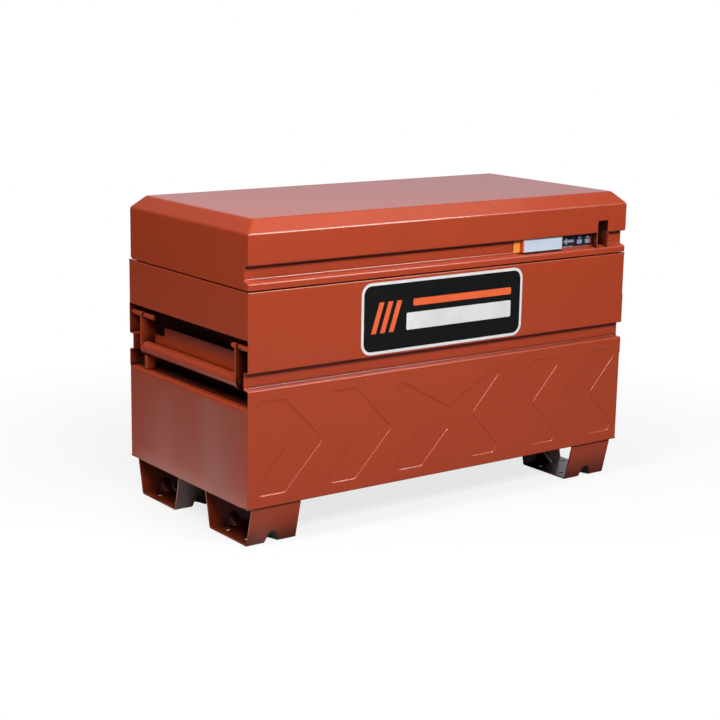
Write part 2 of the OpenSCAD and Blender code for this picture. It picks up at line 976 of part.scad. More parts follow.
// Lock pieces on the lid
module padlock_housing() {
  top = lid_channel_bot + slot_h + sheet;
  color(dark_paint)
    difference() {
      block(
        [slot_x - sheet, front_y + sheet, lid_channel_bot - sheet],
        [slot_x + slot_w + sheet, housing_back_y, top]
      );
      slot_hole(front_y - over, housing_back_y - sheet);
      block(
        [slot_x - sheet - over, front_y, lid_channel_bot - sheet - over],
        [slot_x + slot_w + sheet + over, face_in_y, lid_channel_top + sheet]
      );
      block(
        [slot_x - sheet - over, lock_y - slide_gap, lid_mid_z - bar_h / 2 - slide_gap],
        [slot_x + over, eye_y + eye_d / 2 + eye_rim + slide_gap, eye_z + eye_d / 2 + eye_rim + slide_gap]
      );
    }
}

module eye_plate(x, low_z, from_y, to_y) {
  difference() {
    block([x, from_y, low_z], [x + lock_plate, to_y, eye_z + eye_d / 2 + eye_rim]);
    bar_along_x(eye_d / 2, x - over, x + lock_plate + over, eye_y, eye_z);
  }
}

module padlock_staple() {
  color(zinc)
    eye_plate(staple_x, eye_z - eye_d / 2 - eye_rim, eye_y - eye_d / 2 - eye_rim, housing_back_y - sheet);
}

module lock_label() {
  color(black)
    block([label_x, face_y - label_t, lid_channel_bot + slide_gap],
      [label_end, face_y, lid_channel_top - slide_gap]);
}

module lock_marker() {
  color("#f08a24")
    block([marker_x, face_y - marker_t, lid_channel_bot + slide_gap],
      [marker_x + marker_w, face_y, lid_channel_top - slide_gap]);
}

module lock_stop() {
  x = plate_x - seat_gap;
  color(paint)
    block([x - stop_block_w, face_y - stop_block_out, lid_channel_bot + slide_gap],
      [x, face_y, lid_channel_top - slide_gap]);
}

module lock_guides() {
  low = lid_mid_z - bar_h / 2 - slide_gap - guide_t;
  high = lid_mid_z + bar_h / 2 + slide_gap + guide_t;
  back = lock_back_y + slide_gap + guide_t;
  path = [[face_in_y, low], [back, low], [back, high], [face_in_y, high]];
  color(zinc)
    for (share = guide_inset_shares)
      along_x(bar_x + share * bar_l, bar_x + share * bar_l + guide_w) bent_sheet(path, guide_t);
}

// Pieces of the sliding lock
module lock_bar() {
  color(zinc) {
    block([bar_x, lock_y, lid_mid_z - bar_h / 2], [bar_end, lock_back_y, lid_mid_z + bar_h / 2]);
    for (share = hook_x_shares) {
      toe_z = rim_z - hook_drop - toe_h;
      block([hook_x(share), lock_y, toe_z], [hook_x(share) + hook_w, lock_back_y, lid_mid_z]);
      block(
        [hook_x(share), lock_y, toe_z],
        [hook_x(share) + hook_w + toe_l, lock_back_y, toe_z + toe_h]
      );
    }
    eye_plate(tab_x, lid_mid_z - bar_h / 2, lock_y, eye_y + eye_d / 2 + eye_rim);
  }
}

module slide_plate() {
  low = lid_channel_bot + slide_gap;
  high = lid_channel_top - slide_gap;
  back = face_y - plate_lip_gap;
  path = [[back, high], [plate_front_y, high], [plate_front_y, low], [back, low]];
  color(zinc) along_x(plate_x, plate_x + plate_l) bent_sheet(path, plate_t);
}

module slide_studs() {
  color(zinc)
    for (x = [stud_x, stud_x + stud_spread])
      bar_along_y(stud_r, plate_front_y + plate_t, lock_y, x, lid_mid_z);
}

// Gas strut pieces, drawn at the right end
module strut_bracket() {
  half = lid_bracket_w / 2;
  color(zinc) {
    block(
      [liner_x - bracket_t, case_pivot[0] - half, case_pivot[1] - lid_bracket_w],
      [liner_x, case_pivot[0] + half, case_pivot[1] + lid_bracket_w]
    );
    bar_along_x(rod_r, strut_x - eye_half - over, liner_x - bracket_t, case_pivot[0], case_pivot[1]);
  }
}

// Turns a piece drawn along Z from the origin to lie along the strut
module on_strut() {
  translate([strut_x, case_pivot[0], case_pivot[1]]) rotate([-strut_lean, 0, 0]) children();
}

module strut_cylinder() {
  color(black)
    on_strut()
      difference() {
        union() {
          bar_along_x(eye_r, -eye_half, eye_half, 0, 0);
          bar_along_z(rod_r + tube_wall, 0, tube_start, 0, 0);
          bar_along_z(strut_r, tube_start, tube_end, 0, 0);
        }
        bar_along_x(rod_r + pin_play, -eye_half - over, eye_half + over, 0, 0);
        bar_along_z(strut_r - tube_wall, tube_start + tube_wall, tube_end - tube_cap, 0, 0);
        bar_along_z(rod_r + pin_play, tube_end - tube_cap - over, tube_end + over, 0, 0);
      }
}

module strut_rod() {
  color(zinc)
    on_strut() {
      bar_along_z(rod_r, piston_z, strut_l, 0, 0);
      bar_along_z(strut_r - tube_wall - piston_play, piston_z, piston_z + piston_h, 0, 0);
      bar_along_x(eye_r, -eye_half, eye_half, 0, strut_l);
      bar_along_x(rod_r, eye_half - over, lid_bracket_x - strut_x - seat_gap, 0, strut_l);
    }
}

module bracket_screws(r, from, to) {
  for (side = [-1, 1])
    bar_along_x(
      r, from, to, lid_pivot[0],
      lid_inner_top - stiffener_h / 2 + side * screw_spread / 2
    );
}

module lid_strut_bracket() {
  half = lid_bracket_w / 2;
  color(zinc)
    difference() {
      block(
        [lid_bracket_x, lid_pivot[0] - half, lid_pivot[1] - half],
        [lid_bracket_x + bracket_t, lid_pivot[0] + half, lid_inner_top - sheet]
      );
      bracket_screws(screw_r, lid_bracket_x - over, lid_bracket_x + bracket_t + over);
    }
}

module lid_bracket_screws() {
  color(zinc)
    for (side = [0, 1])
      mirror([side, 0, 0]) {
        bracket_screws(screw_r, lid_bracket_x - screw_head_h, lid_bracket_x + bracket_t + sheet);
        bracket_screws(screw_head_r, lid_bracket_x - screw_head_h, lid_bracket_x);
      }
}

module right_strut_bracket() {
  strut_bracket();
}

module left_strut_bracket() {
  mirror([1, 0, 0]) strut_bracket();
}

module lid_right_strut_bracket() {
  lid_strut_bracket();
}

module lid_left_strut_bracket() {
  mirror([1, 0, 0]) lid_strut_bracket();
}

module right_strut_cylinder() {
  strut_cylinder();
}

module left_strut_cylinder() {
  mirror([1, 0, 0]) strut_cylinder();
}

module right_strut_rod() {
  strut_rod();
}

module left_strut_rod() {
  mirror([1, 0, 0]) strut_rod();
}

front_panel();
back_panel();
left_lower_end();
right_lower_end();
left_upper_end();
right_upper_end();
left_pocket_liner();
right_pocket_liner();
floor_panel();
front_left_foot();
front_right_foot();
rear_left_foot();
rear_right_foot();
mouth_seal();
hinge_case_leaf();
hinge_pin();
hinge_case_rivets();
lock_keepers();
front_decal();
left_handle_pins();
right_handle_pins();
left_handle_stop();
right_handle_stop();
left_strut_bracket();
right_strut_bracket();
lid_shell();
lid_left_end();
lid_right_end();
lid_left_stiffener();
lid_right_stiffener();
lid_centre_stiffener();
hinge_lid_leaf();
hinge_lid_rivets();
padlock_housing();
padlock_staple();
lock_label();
lock_marker();
lock_stop();
lock_guides();
lid_left_strut_bracket();
lid_right_strut_bracket();
lid_bracket_screws();
lock_bar();
slide_plate();
slide_studs();
left_handle_arms();
left_handle_web();
left_handle_grip();
right_handle_arms();
right_handle_web();
right_handle_grip();
left_strut_cylinder();
left_strut_rod();
right_strut_cylinder();
right_strut_rod();
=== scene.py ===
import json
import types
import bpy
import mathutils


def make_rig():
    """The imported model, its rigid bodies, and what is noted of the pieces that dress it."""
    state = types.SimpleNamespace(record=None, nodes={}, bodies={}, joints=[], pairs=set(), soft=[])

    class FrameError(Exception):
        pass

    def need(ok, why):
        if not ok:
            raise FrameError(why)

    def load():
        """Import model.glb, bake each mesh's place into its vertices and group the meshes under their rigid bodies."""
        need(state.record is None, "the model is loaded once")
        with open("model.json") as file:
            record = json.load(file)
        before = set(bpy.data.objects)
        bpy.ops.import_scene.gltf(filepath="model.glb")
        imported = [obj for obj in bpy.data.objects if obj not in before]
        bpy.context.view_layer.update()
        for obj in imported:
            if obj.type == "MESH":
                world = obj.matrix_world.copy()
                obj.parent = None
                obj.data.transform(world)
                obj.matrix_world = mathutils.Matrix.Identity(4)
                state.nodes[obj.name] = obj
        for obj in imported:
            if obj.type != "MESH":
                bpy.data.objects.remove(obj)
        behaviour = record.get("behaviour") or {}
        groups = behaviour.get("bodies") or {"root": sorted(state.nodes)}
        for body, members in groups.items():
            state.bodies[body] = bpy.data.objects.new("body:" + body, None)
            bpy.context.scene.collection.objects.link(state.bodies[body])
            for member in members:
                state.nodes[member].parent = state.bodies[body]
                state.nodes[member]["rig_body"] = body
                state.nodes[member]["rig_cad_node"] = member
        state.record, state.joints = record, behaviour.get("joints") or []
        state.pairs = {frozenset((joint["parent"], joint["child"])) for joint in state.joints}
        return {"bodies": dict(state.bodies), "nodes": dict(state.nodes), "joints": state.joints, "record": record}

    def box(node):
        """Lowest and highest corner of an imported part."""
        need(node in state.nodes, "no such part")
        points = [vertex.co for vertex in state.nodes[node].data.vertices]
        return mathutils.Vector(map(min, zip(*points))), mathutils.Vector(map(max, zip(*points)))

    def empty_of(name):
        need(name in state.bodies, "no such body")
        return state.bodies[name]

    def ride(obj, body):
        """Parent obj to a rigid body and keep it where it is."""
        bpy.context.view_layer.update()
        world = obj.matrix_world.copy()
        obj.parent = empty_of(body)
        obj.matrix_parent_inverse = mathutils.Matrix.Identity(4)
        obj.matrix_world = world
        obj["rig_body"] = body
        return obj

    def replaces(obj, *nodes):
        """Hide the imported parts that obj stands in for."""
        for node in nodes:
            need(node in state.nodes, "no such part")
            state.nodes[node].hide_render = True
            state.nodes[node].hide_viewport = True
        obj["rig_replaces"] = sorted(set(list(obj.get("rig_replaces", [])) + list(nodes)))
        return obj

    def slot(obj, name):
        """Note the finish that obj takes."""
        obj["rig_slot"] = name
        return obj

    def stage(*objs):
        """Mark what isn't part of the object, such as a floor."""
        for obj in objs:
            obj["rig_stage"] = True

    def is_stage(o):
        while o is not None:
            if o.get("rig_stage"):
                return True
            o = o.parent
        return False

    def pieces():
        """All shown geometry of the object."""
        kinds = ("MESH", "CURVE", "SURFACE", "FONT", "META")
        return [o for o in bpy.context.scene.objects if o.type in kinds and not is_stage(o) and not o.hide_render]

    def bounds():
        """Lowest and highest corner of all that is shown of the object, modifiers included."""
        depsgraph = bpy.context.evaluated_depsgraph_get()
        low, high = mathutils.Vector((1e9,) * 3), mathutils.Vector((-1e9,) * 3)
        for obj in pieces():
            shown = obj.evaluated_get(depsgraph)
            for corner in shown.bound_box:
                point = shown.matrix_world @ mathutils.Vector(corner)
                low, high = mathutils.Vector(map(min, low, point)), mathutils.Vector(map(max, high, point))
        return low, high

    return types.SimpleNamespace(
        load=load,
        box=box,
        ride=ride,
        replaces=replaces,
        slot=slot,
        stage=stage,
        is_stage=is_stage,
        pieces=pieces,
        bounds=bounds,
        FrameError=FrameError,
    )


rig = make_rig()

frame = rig.load()

import json
import math

import bmesh
import bpy
from bpy.props import FloatProperty, FloatVectorProperty, PointerProperty
from mathutils import Euler, Vector, geometry

bl_info = {
    "name": "Jobsite storage box",
    "version": (1, 0, 0),
    "blender": (4, 5, 0),
    "location": "3D View > Sidebar > Storage Box",
    "description": "Dresses the packed frame of a steel jobsite storage box",
    "category": "Add Mesh",
}

packed_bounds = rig.bounds()

MM = 0.001


def corners(node):
    """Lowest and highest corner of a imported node, in millimetres."""
    low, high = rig.box(node)
    return low / MM, high / MM


# Clearance between pieces, and what counts as close and as the same place, in millimetres
GAP = 0.3
CLOSE = 0.01
NEAR = 0.001

# Main sizes in millimetres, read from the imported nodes
panel_low, panel_high = corners("front_panel")
lid_low, lid_high = corners("lid_shell")
HALF_W = round(panel_high.x, 3)
FRONT_Y = round(panel_low.y, 3)
BACK_Y = round(corners("back_panel")[1].y, 3)
FOOT_H = round(panel_low.z, 3)
RIM_Z = round(panel_high.z, 3)
LID_Z = round(corners("mouth_seal")[1].z + GAP, 3)
SKIRT_Z = round(lid_low.z, 3)
TOP_Z = round(lid_high.z, 3)
LID_BACK = round(lid_high.y, 3)
POCKET_BOT = round(corners("left_lower_end")[1].z, 3)
POCKET_TOP = round(corners("left_upper_end")[0].z, 3)

# Sizes of the sheet parts in millimetres
SHEET = 2.0
CHANNEL_TOP = 381.0
CHANNEL_BOT = 345.0
CHANNEL_IN = 16.0
LEDGE_DROP = 1.0
FRONT_RIM = 26.0
FRONT_LIP = 14.0
BACK_RIM = 32.0
FLOOR_FLANGE = 25.0
END_ROLL = 10.0
LID_FOOT = 11.0
LID_LEDGE = 5.0
LID_CHANNEL = 31.0
LID_SLANT = 27.5
LID_FLANGE = 24.0
ARM = 6.0
INNER_Y = -FRONT_Y - SHEET
LID_RECESS_Y = FRONT_Y + CHANNEL_IN
LID_CHANNEL_BOT = LID_Z + LID_FOOT + LID_LEDGE
LID_CHANNEL_TOP = LID_CHANNEL_BOT + LID_CHANNEL

# The camera that was fitted to the photograph, in millimetres of lens, metres and degrees
CAMERA_LENS = 81.834
CAMERA_SENSOR = 36.0
CAMERA_AT = (-2.279692, -3.022933, 1.144445)
CAMERA_TURN = (77.434363, -0.944458, -36.032998)


def length_of(name, description, default, low, high):
    """A length property, given in millimetres."""
    return FloatProperty(name=name, description=description, default=default * MM, min=low * MM,
                         max=high * MM, unit="LENGTH")


def colour_of(name, description, *default):
    """A colour property, linear."""
    return FloatVectorProperty(name=name, description=description, default=default, subtype="COLOR", size=3,
                               min=0, max=1)


class BoxSizes(bpy.types.PropertyGroup):
    """Sizes of the dressed box that a user would change."""

    bend: length_of("Bend radius", "Outside radius of the bends in the sheet", 3.2, 2.2, 6)
    lid_bend: length_of("Lid bend radius", "Rounding of the lid's edges", 3.6, 2.2, 5)
    pressing_round: length_of("Pressing corner radius", "Corner radius of a pressed chevron", 8, 5.5, 14)
    pressing_slope: length_of("Pressing slope", "Width of the slope around a pressed chevron", 2.4, 2, 8)
    pressing_depth: length_of("Pressing depth", "Depth of the pressed chevrons", 1.25, 1, 5)
    edge: length_of("Edge rounding", "Rounding of the cut edges of the sheet", 0.45, 0.1, 0.9)


class BoxColours(bpy.types.PropertyGroup):
    """Colours of the dressed box, linear."""

    paint: colour_of("Body paint", "Powder coat of the sheet steel", 0.430, 0.052, 0.014)
    zinc: colour_of("Zinc", "Plated steel of the lock and hinge", 0.66, 0.69, 0.73)
    rubber: colour_of("Rubber", "Mouth seal", 0.018, 0.018, 0.019)
    decal_ground: colour_of("Decal ground", "Dark ground of the decal", 0.006, 0.007, 0.008)
    decal_band: colour_of("Decal band", "Coloured bar and stripes on the decal", 0.90, 0.14, 0.04)
    marker: colour_of("Lock marker", "Marker beside the finger plate", 0.95, 0.33, 0.05)


def size(name):
    """One of the sizes that a user would change, in millimetres."""
    return getattr(bpy.context.scene.storage_box_sizes, name) / MM


# Shader nodes

BLACK = (0.0, 0.0, 0.0)
WHITE = (1.0, 1.0, 1.0, 1.0)
AXIS_X, AXIS_Y, AXIS_Z = (1.0, 0.0, 0.0), (0.0, 1.0, 0.0), (0.0, 0.0, 1.0)
# The range that most of a noise lies in
MIDDLE = (0.3, 0.7)
FALLING = (1.0, 0.0)
NODES_IN_ROW, NODE_WIDE, NODE_HIGH = 8, 220, 340


def fill(tree, socket, value):
    """Links an input to another node's output, or sets it to a number or colour."""
    if isinstance(value, bpy.types.NodeSocket):
        tree.links.new(value, socket)
    elif value is not None:
        socket.default_value = value


def node_of(tree, kind, *values, **named):
    """A shader node, set out in rows. The values go to its first inputs, named ones to the
    node's own settings and to inputs of that name."""
    place = len(tree.nodes)
    node = tree.nodes.new(kind)
    node.location = (NODE_WIDE * (place % NODES_IN_ROW), -NODE_HIGH * (place // NODES_IN_ROW))
    for key in [k for k in named if k not in node.inputs]:
        setattr(node, key, named.pop(key))
    for key, value in (*enumerate(values), *named.items()):
        fill(tree, node.inputs[key], value)
    return node


def cleared_tree(owner):
    """The empty node tree of a material or world."""
    owner.use_nodes = True
    owner.node_tree.nodes.clear()
    return owner.node_tree


def fresh_material(name):
    """A material with its empty node tree and object coordinates."""
    material = bpy.data.materials.new(name)
    tree = cleared_tree(material)
    return material, tree, node_of(tree, "ShaderNodeTexCoord").outputs["Object"]


def with_shader(material, inputs):
    """The material, given its shader with inputs by name."""
    tree = material.node_tree
    shader = node_of(tree, "ShaderNodeBsdfPrincipled", **inputs)
    node_of(tree, "ShaderNodeOutputMaterial", shader.outputs[0])
    return material


def stretched(tree, where, share):
    """Coordinates scaled differently along the three axes."""
    return node_of(tree, "ShaderNodeMapping", Vector=where, Scale=share).outputs[0]


def noise(tree, where, cells, detail=2.0, rough=0.5):
    """Noise from coordinates, with its cells to the metre."""
    node = node_of(tree, "ShaderNodeTexNoise", Vector=where, Scale=cells, Detail=detail, Roughness=rough)
    return node.outputs["Fac"]


def spread(tree, value, source, target=(0.0, 1.0)):
    """A value brought from one range into another."""
    return node_of(tree, "ShaderNodeMapRange", value, *source, *target).outputs["Result"]


def maths(tree, operation, one, two=None):
    """A math node over sockets or numbers."""
    return node_of(tree, "ShaderNodeMath", one, two, operation=operation).outputs[0]


def product(tree, *values):
    """Sockets or numbers multiplied together."""
    total = values[0]
    for value in values[1:]:
        total = maths(tree, "MULTIPLY", total, value)
    return total


def along_axis(tree, where, axis):
    """How far coordinates lie along an axis."""
    return node_of(tree, "ShaderNodeVectorMath", where, axis, operation="DOT_PRODUCT").outputs["Value"]


def blend_of(tree, share, one, two):
    """Mix of two colours, each a colour or a socket, by a share socket."""
    node = node_of(tree, "ShaderNodeMix", share, data_type="RGBA")
    for socket, value in zip([s for s in node.inputs if s.type == "RGBA"], (one, two)):
        fill(tree, socket, value if isinstance(value, bpy.types.NodeSocket) else (*value, 1))
    return [s for s in node.outputs if s.type == "RGBA"][0]


def mixed(tree, share, one, two):
    """Mix of two shaders by a share socket."""
    return node_of(tree, "ShaderNodeMixShader", share, one, two).outputs[0]


def shade(colour, share):
    """A colour made lighter (share over 1) or darker."""
    return tuple(min(1.0, c * share) for c in colour)


def mottled(tree, value, colour, dark, light, source=MIDDLE):
    """A colour that goes from a darker to a lighter shade with a noise value."""
    return blend_of(tree, spread(tree, value, source), shade(colour, dark), shade(colour, light))


def bumped(tree, height, distance, strength=0.5, under=None):
    """A bump node over a height socket."""
    node = node_of(tree, "ShaderNodeBump", Height=height, Distance=distance, Strength=strength, Normal=under)
    return node.outputs["Normal"]


def with_painted_crease_shade(tree, colour, reach, closed, clear, deep):
    """Painted shade: a colour that goes dark where other surfaces stand closely around, within reach in metres.
    It is at its darkest, deep, where the open share is closed, and plain from clear upwards."""
    around = node_of(tree, "ShaderNodeAmbientOcclusion", Distance=reach, samples=6).outputs["AO"]
    return blend_of(tree, spread(tree, around, (closed, clear), (deep, 1.0)), BLACK, colour)


def pocket_shade_mask(tree, where):
    """A share that is 1 on the inner side of the front and back sheets beside a handle, where painted shade goes."""
    pocket_x, blur, facing_in = 0.46, 0.005, (-0.2, -0.1)
    low, high = POCKET_BOT * MM, POCKET_TOP * MM
    outward = node_of(tree, "ShaderNodeTexCoord").outputs["Normal"]
    up = along_axis(tree, where, AXIS_Z)
    inward = product(tree, along_axis(tree, where, AXIS_Y), along_axis(tree, outward, AXIS_Y))
    aside = maths(tree, "ABSOLUTE", along_axis(tree, where, AXIS_X))
    return product(
        tree, spread(tree, inward, facing_in, FALLING),
        spread(tree, aside, (pocket_x - blur, pocket_x + blur)),
        spread(tree, up, (low - blur, low)), spread(tree, up, (high, high + blur), FALLING))


# Materials

# Painted shade in creases, which darkens the paint: reach in metres, closed, clear and deep, as the crease shading
# takes them
BODY_CREASE_SHADE = (0.012, 0.67, 0.82, 0.09)
HANDLE_CREASE_SHADE = (0.012, 0.60, 0.84, 0.45)
ARM_CREASE_SHADE = (0.06, 0.55, 0.85, 0.08)
CHEEK_CREASE_SHADE = (0.05, 0.42, 0.66, 0.05)
FOOT_CREASE_SHADE = (0.15, 0.38, 0.65, 0.0)


def powder_coat(name, colour, rough=0.34, gloss=0.4, level=0.5, crease=BODY_CREASE_SHADE,
                streaked=False, grimy=None, sooty=0.0):
    """Powder coat: fine orange peel, soft mottling, painted shade in creases. The streak setting adds painted upright
    sheen streaks below the pocket, the two heights give painted shade that darkens it between them towards the top,
    and the pocket setting gives painted shade in the pocket."""
    material, tree, where = fresh_material(name)
    fine = noise(tree, where, 620.0, 2.0, 0.55)
    mid = noise(tree, where, 46.0, 4.0, 0.6)
    coat = blend_of(tree, spread(tree, mid, (0.0, 1.0), (0.35, 0.65)),
                    mottled(tree, noise(tree, where, 5.5, 3.0), colour, 0.95, 1.05),
                    mottled(tree, fine, colour, 0.97, 1.04, (0.35, 0.7)))
    normal = None
    if streaked:
        # Painted sheen: greyish upright streaks below the pocket, which stand in for reflections
        sheen_share, sheen_tone, edge = 0.22, 0.16, POCKET_BOT * MM
        tall = noise(tree, stretched(tree, where, (1.0, 1.0, 0.16)), 9.0, 2.0, 0.45)
        below = spread(tree, along_axis(tree, where, AXIS_Z), (edge - 22 * MM, edge - 8 * MM), FALLING)
        sheen_streaks = product(tree, spread(tree, tall, (0.42, 0.66), (0.15, 0.85)), below)
        sheened = tuple((1 - sheen_share) * c + sheen_share * sheen_tone for c in colour)
        coat = blend_of(tree, sheen_streaks, coat, sheened)
        waves = noise(tree, stretched(tree, where, (1.0, 1.0, 0.12)), 11.0, 1.0, 0.4)
        normal = bumped(tree, waves, 0.003, 0.6)
    # Painted shade: darker towards the top between two heights
    if grimy:
        coat = blend_of(tree, spread(tree, along_axis(tree, where, AXIS_Z), grimy), coat, shade(colour, 0.4))
    # Painted shade: darkens the inner side of the sheets in the pocket towards black
    if sooty:
        coat = blend_of(tree, product(tree, pocket_shade_mask(tree, where), sooty), coat, BLACK)
    normal = bumped(tree, noise(tree, where, 4.0, 1.0, 0.4), 0.0005, under=normal)
    return with_shader(material, {
        "Base Color": with_painted_crease_shade(tree, coat, *crease),
        "Roughness": spread(tree, mid, MIDDLE, (rough - 0.015, rough + 0.02)),
        "Specular IOR Level": level, "Coat Weight": gloss, "Coat Roughness": 0.1,
        "Normal": bumped(tree, fine, 0.00022, under=normal),
    })


def plated(name, colour, rough=0.3, spangle=0.5):
    """Zinc-plated steel: cloudy spangle, fine rolling lines, small stains."""
    material, tree, where = fresh_material(name)
    cells = node_of(tree, "ShaderNodeTexVoronoi", Vector=where, Scale=210.0).outputs["Color"]
    grain = node_of(tree, "ShaderNodeSeparateColor", cells).outputs[0]
    cloud = noise(tree, where, 38.0, 4.0, 0.6)
    lines = noise(tree, stretched(tree, where, (0.05, 1.0, 1.0)), 900.0)
    return with_shader(material, {
        "Base Color": blend_of(tree, spread(tree, grain, (0.0, 1.0), (0.0, spangle)),
                               mottled(tree, cloud, colour, 0.88, 1.06), shade(colour, 0.8)),
        "Roughness": spread(tree, cloud, MIDDLE, (rough - 0.05, rough + 0.1)),
        "Metallic": 0.92,
        "Normal": bumped(tree, cloud, 0.0003, 0.25, bumped(tree, lines, 0.00008, 0.35)),
    })


def smooth_coat(name, colour, rough=0.3, grain=300.0, depth=0.00006, metal=0.0, coat=0.0, level=0.5):
    """Film, enamel or moulded finish with a faint grain and small stains."""
    material, tree, where = fresh_material(name)
    cloud = noise(tree, where, 30.0, 4.0, 0.6)
    return with_shader(material, {
        "Base Color": mottled(tree, cloud, colour, 0.93, 1.05),
        "Roughness": spread(tree, cloud, MIDDLE, (rough - 0.03, rough + 0.06)),
        "Metallic": metal, "Specular IOR Level": level, "Coat Weight": coat, "Coat Roughness": 0.12,
        "Normal": bumped(tree, noise(tree, where, grain), depth),
    })


def finishes():
    """Each finish by its material's name: its maker, its colour and its settings."""
    colours = bpy.context.scene.storage_box_colours
    paint, zinc, rubber, ground, band, marker = (
        tuple(getattr(colours, tone)) for tone in BoxColours.__annotations__)
    # Heights over the web between which painted shade darkens it towards the top
    low, high = corners("left_handle_web")
    web_shade_heights = ((low.z + 0.4 * (high.z - low.z)) * MM, high.z * MM)
    film = dict(rough=0.32, coat=0.3, grain=700.0)
    return {
        "body_powder_coat": (powder_coat, paint, {}),
        # Painted shade on the sheets' inner side in the pocket
        "panel_powder_coat": (powder_coat, paint, dict(sooty=0.55)),
        # A slightly darker copy of the paint (painted shade), with painted sheen streaks
        "end_powder_coat": (powder_coat, shade(paint, 0.95), dict(streaked=True)),
        # A lighter copy of the paint (painted light), with painted shade reaching far inside the hollow feet
        "foot_powder_coat": (powder_coat, shade(paint, 1.12), dict(crease=FOOT_CREASE_SHADE)),
        # Painted shade that reaches further into the padlock slot
        "cheek_powder_coat": (powder_coat, paint, dict(crease=CHEEK_CREASE_SHADE)),
        # Painted shade that reaches further, darkening the arms' shaded faces
        "arm_powder_coat": (powder_coat, paint, dict(crease=ARM_CREASE_SHADE)),
        "handle_powder_coat": (powder_coat, paint, dict(crease=HANDLE_CREASE_SHADE)),
        # A lighter copy of the paint (painted light), less glossy, with painted shade towards its top
        "web_powder_coat": (powder_coat, shade(paint, 1.15),
                            dict(gloss=0.15, crease=HANDLE_CREASE_SHADE, grimy=web_shade_heights)),
        # A darker copy of the paint for the mostly unlit inside (painted shade); the inside is also rougher and less
        # glossy
        "inner_powder_coat": (powder_coat, shade(paint, 0.7), dict(rough=0.45, gloss=0.1)),
        # A near-black copy of the paint (painted shade) for the pocket liners and padlock housing, matt and dull
        "pocket_powder_coat": (powder_coat, shade(paint, 0.16), dict(rough=0.6, gloss=0.0, level=0.25)),
        "zinc_plate": (plated, zinc, {}),
        "dull_zinc_plate": (plated, shade(zinc, 0.86), dict(rough=0.4, spangle=0.35)),
        # Bluish zinc plating whose near-white, mostly matt colour stands in for its sheen: a painted reflection
        "bright_zinc_plate": (smooth_coat, (0.72, 0.82, 0.95),
                              dict(rough=0.22, metal=0.15, grain=60.0, depth=0.00004)),
        "rod_chrome": (smooth_coat, (0.74, 0.75, 0.77), dict(rough=0.12, metal=1.0, depth=0.00001)),
        "cylinder_enamel": (smooth_coat, (0.012, 0.012, 0.013), dict(rough=0.24, coat=0.4)),
        "stop_enamel": (smooth_coat, (0.78, 0.085, 0.03), dict(rough=0.35, coat=0.3)),
        "seal_rubber": (smooth_coat, rubber, dict(rough=0.62, grain=520.0, depth=0.00015)),
        "white_film": (smooth_coat, (0.80, 0.80, 0.79), film),
        "band_film": (smooth_coat, band, film),
        "black_film": (smooth_coat, ground, dict(film, rough=0.36, coat=0.05, level=0.15)),
        "navy_film": (smooth_coat, (0.008, 0.012, 0.030), dict(film, rough=0.3)),
        "grey_film": (smooth_coat, (0.30, 0.31, 0.40), dict(film, rough=0.35, coat=0.0)),
        "marker_film": (smooth_coat, marker, dict(rough=0.35, coat=0.2, grain=500.0)),
    }


def finish(name):
    """The material of a finish, made when it is first asked for."""
    make, tone, settings = finishes()[name]
    return bpy.data.materials.get(name) or make(name, tone, **settings)


# Outlines

def rounded(path, radius, steps, closed=False):
    """A 2D path with its corners rounded. radius is one number or one for each point."""
    points = [Vector(p) for p in path]
    count = len(points)
    radii = [radius] * count if not hasattr(radius, "__len__") else list(radius)
    straight = math.pi / 2 - 0.01
    longest_share = 0.49
    out = []
    for i, b in enumerate(points):
        if not closed and i in (0, count - 1) or radii[i] <= 0:
            out.append(b.copy())
            continue
        u, v = points[i - 1] - b, points[(i + 1) % count] - b
        reach = min(u.length, v.length) * longest_share
        u.normalize()
        v.normalize()
        half = math.acos(max(-1, min(1, u.dot(v)))) / 2
        if half > straight:
            out.append(b.copy())
            continue
        back = min(radii[i] / math.tan(half), reach)
        centre = b + (u + v).normalized() * (back * math.tan(half) / math.sin(half))
        start = b + u * back - centre
        turn = math.pi - 2 * half
        if u.x * v.y - u.y * v.x > 0:
            turn = -turn
        for k in range(steps + 1):
            s = turn * k / steps
            out.append(centre + Vector((start.x * math.cos(s) - start.y * math.sin(s),
                                        start.x * math.sin(s) + start.y * math.cos(s))))
    return out


def rounded_box(x0, z0, x1, z1, radius, steps=8):
    """A rounded rectangle between two corners."""
    return rounded([(x0, z0), (x1, z0), (x1, z1), (x0, z1)], radius, steps, closed=True)


def grown(outline, by):
    """A closed anticlockwise 2D outline moved outwards by a distance."""
    points = [Vector(p) for p in outline]
    out = []
    for i, b in enumerate(points):
        a, c = points[i - 1], points[(i + 1) % len(points)]
        m = Vector((b.y - a.y, a.x - b.x)).normalized()
        n = Vector((c.y - b.y, b.x - c.x)).normalized()
        out.append(b + by * (m + n) / (1 + m.dot(n)))
    return out


def is_inside(point, outline):
    """Whether a 2D point lies inside a closed outline."""
    hit = False
    for i, b in enumerate(outline):
        a = outline[i - 1]
        if (a[1] > point[1]) != (b[1] > point[1]):
            if point[0] < (b[0] - a[0]) * (point[1] - a[1]) / (b[1] - a[1]) + a[0]:
                hit = not hit
    return hit


def circle(radius, count, at=(0, 0)):
    """A round outline."""
    turns = [2 * math.pi * k / count for k in range(count)]
    return [Vector((at[0] + radius * math.cos(t), at[1] + radius * math.sin(t))) for t in turns]


# Meshes, with points in millimetres

def join_rows(bm, grid, wrap=False):
    """Quads between rows of vertices."""
    for a, b in zip(grid, grid[1:]):
        for j in range(len(a) if wrap else len(a) - 1):
            k = (j + 1) % len(a)
            bm.faces.new((a[j], a[k], b[k], b[j]))


def strip(bm, rows, wrap=False):
    """Quads between rows of 3D points."""
    join_rows(bm, [[bm.verts.new(p) for p in row] for row in rows], wrap)


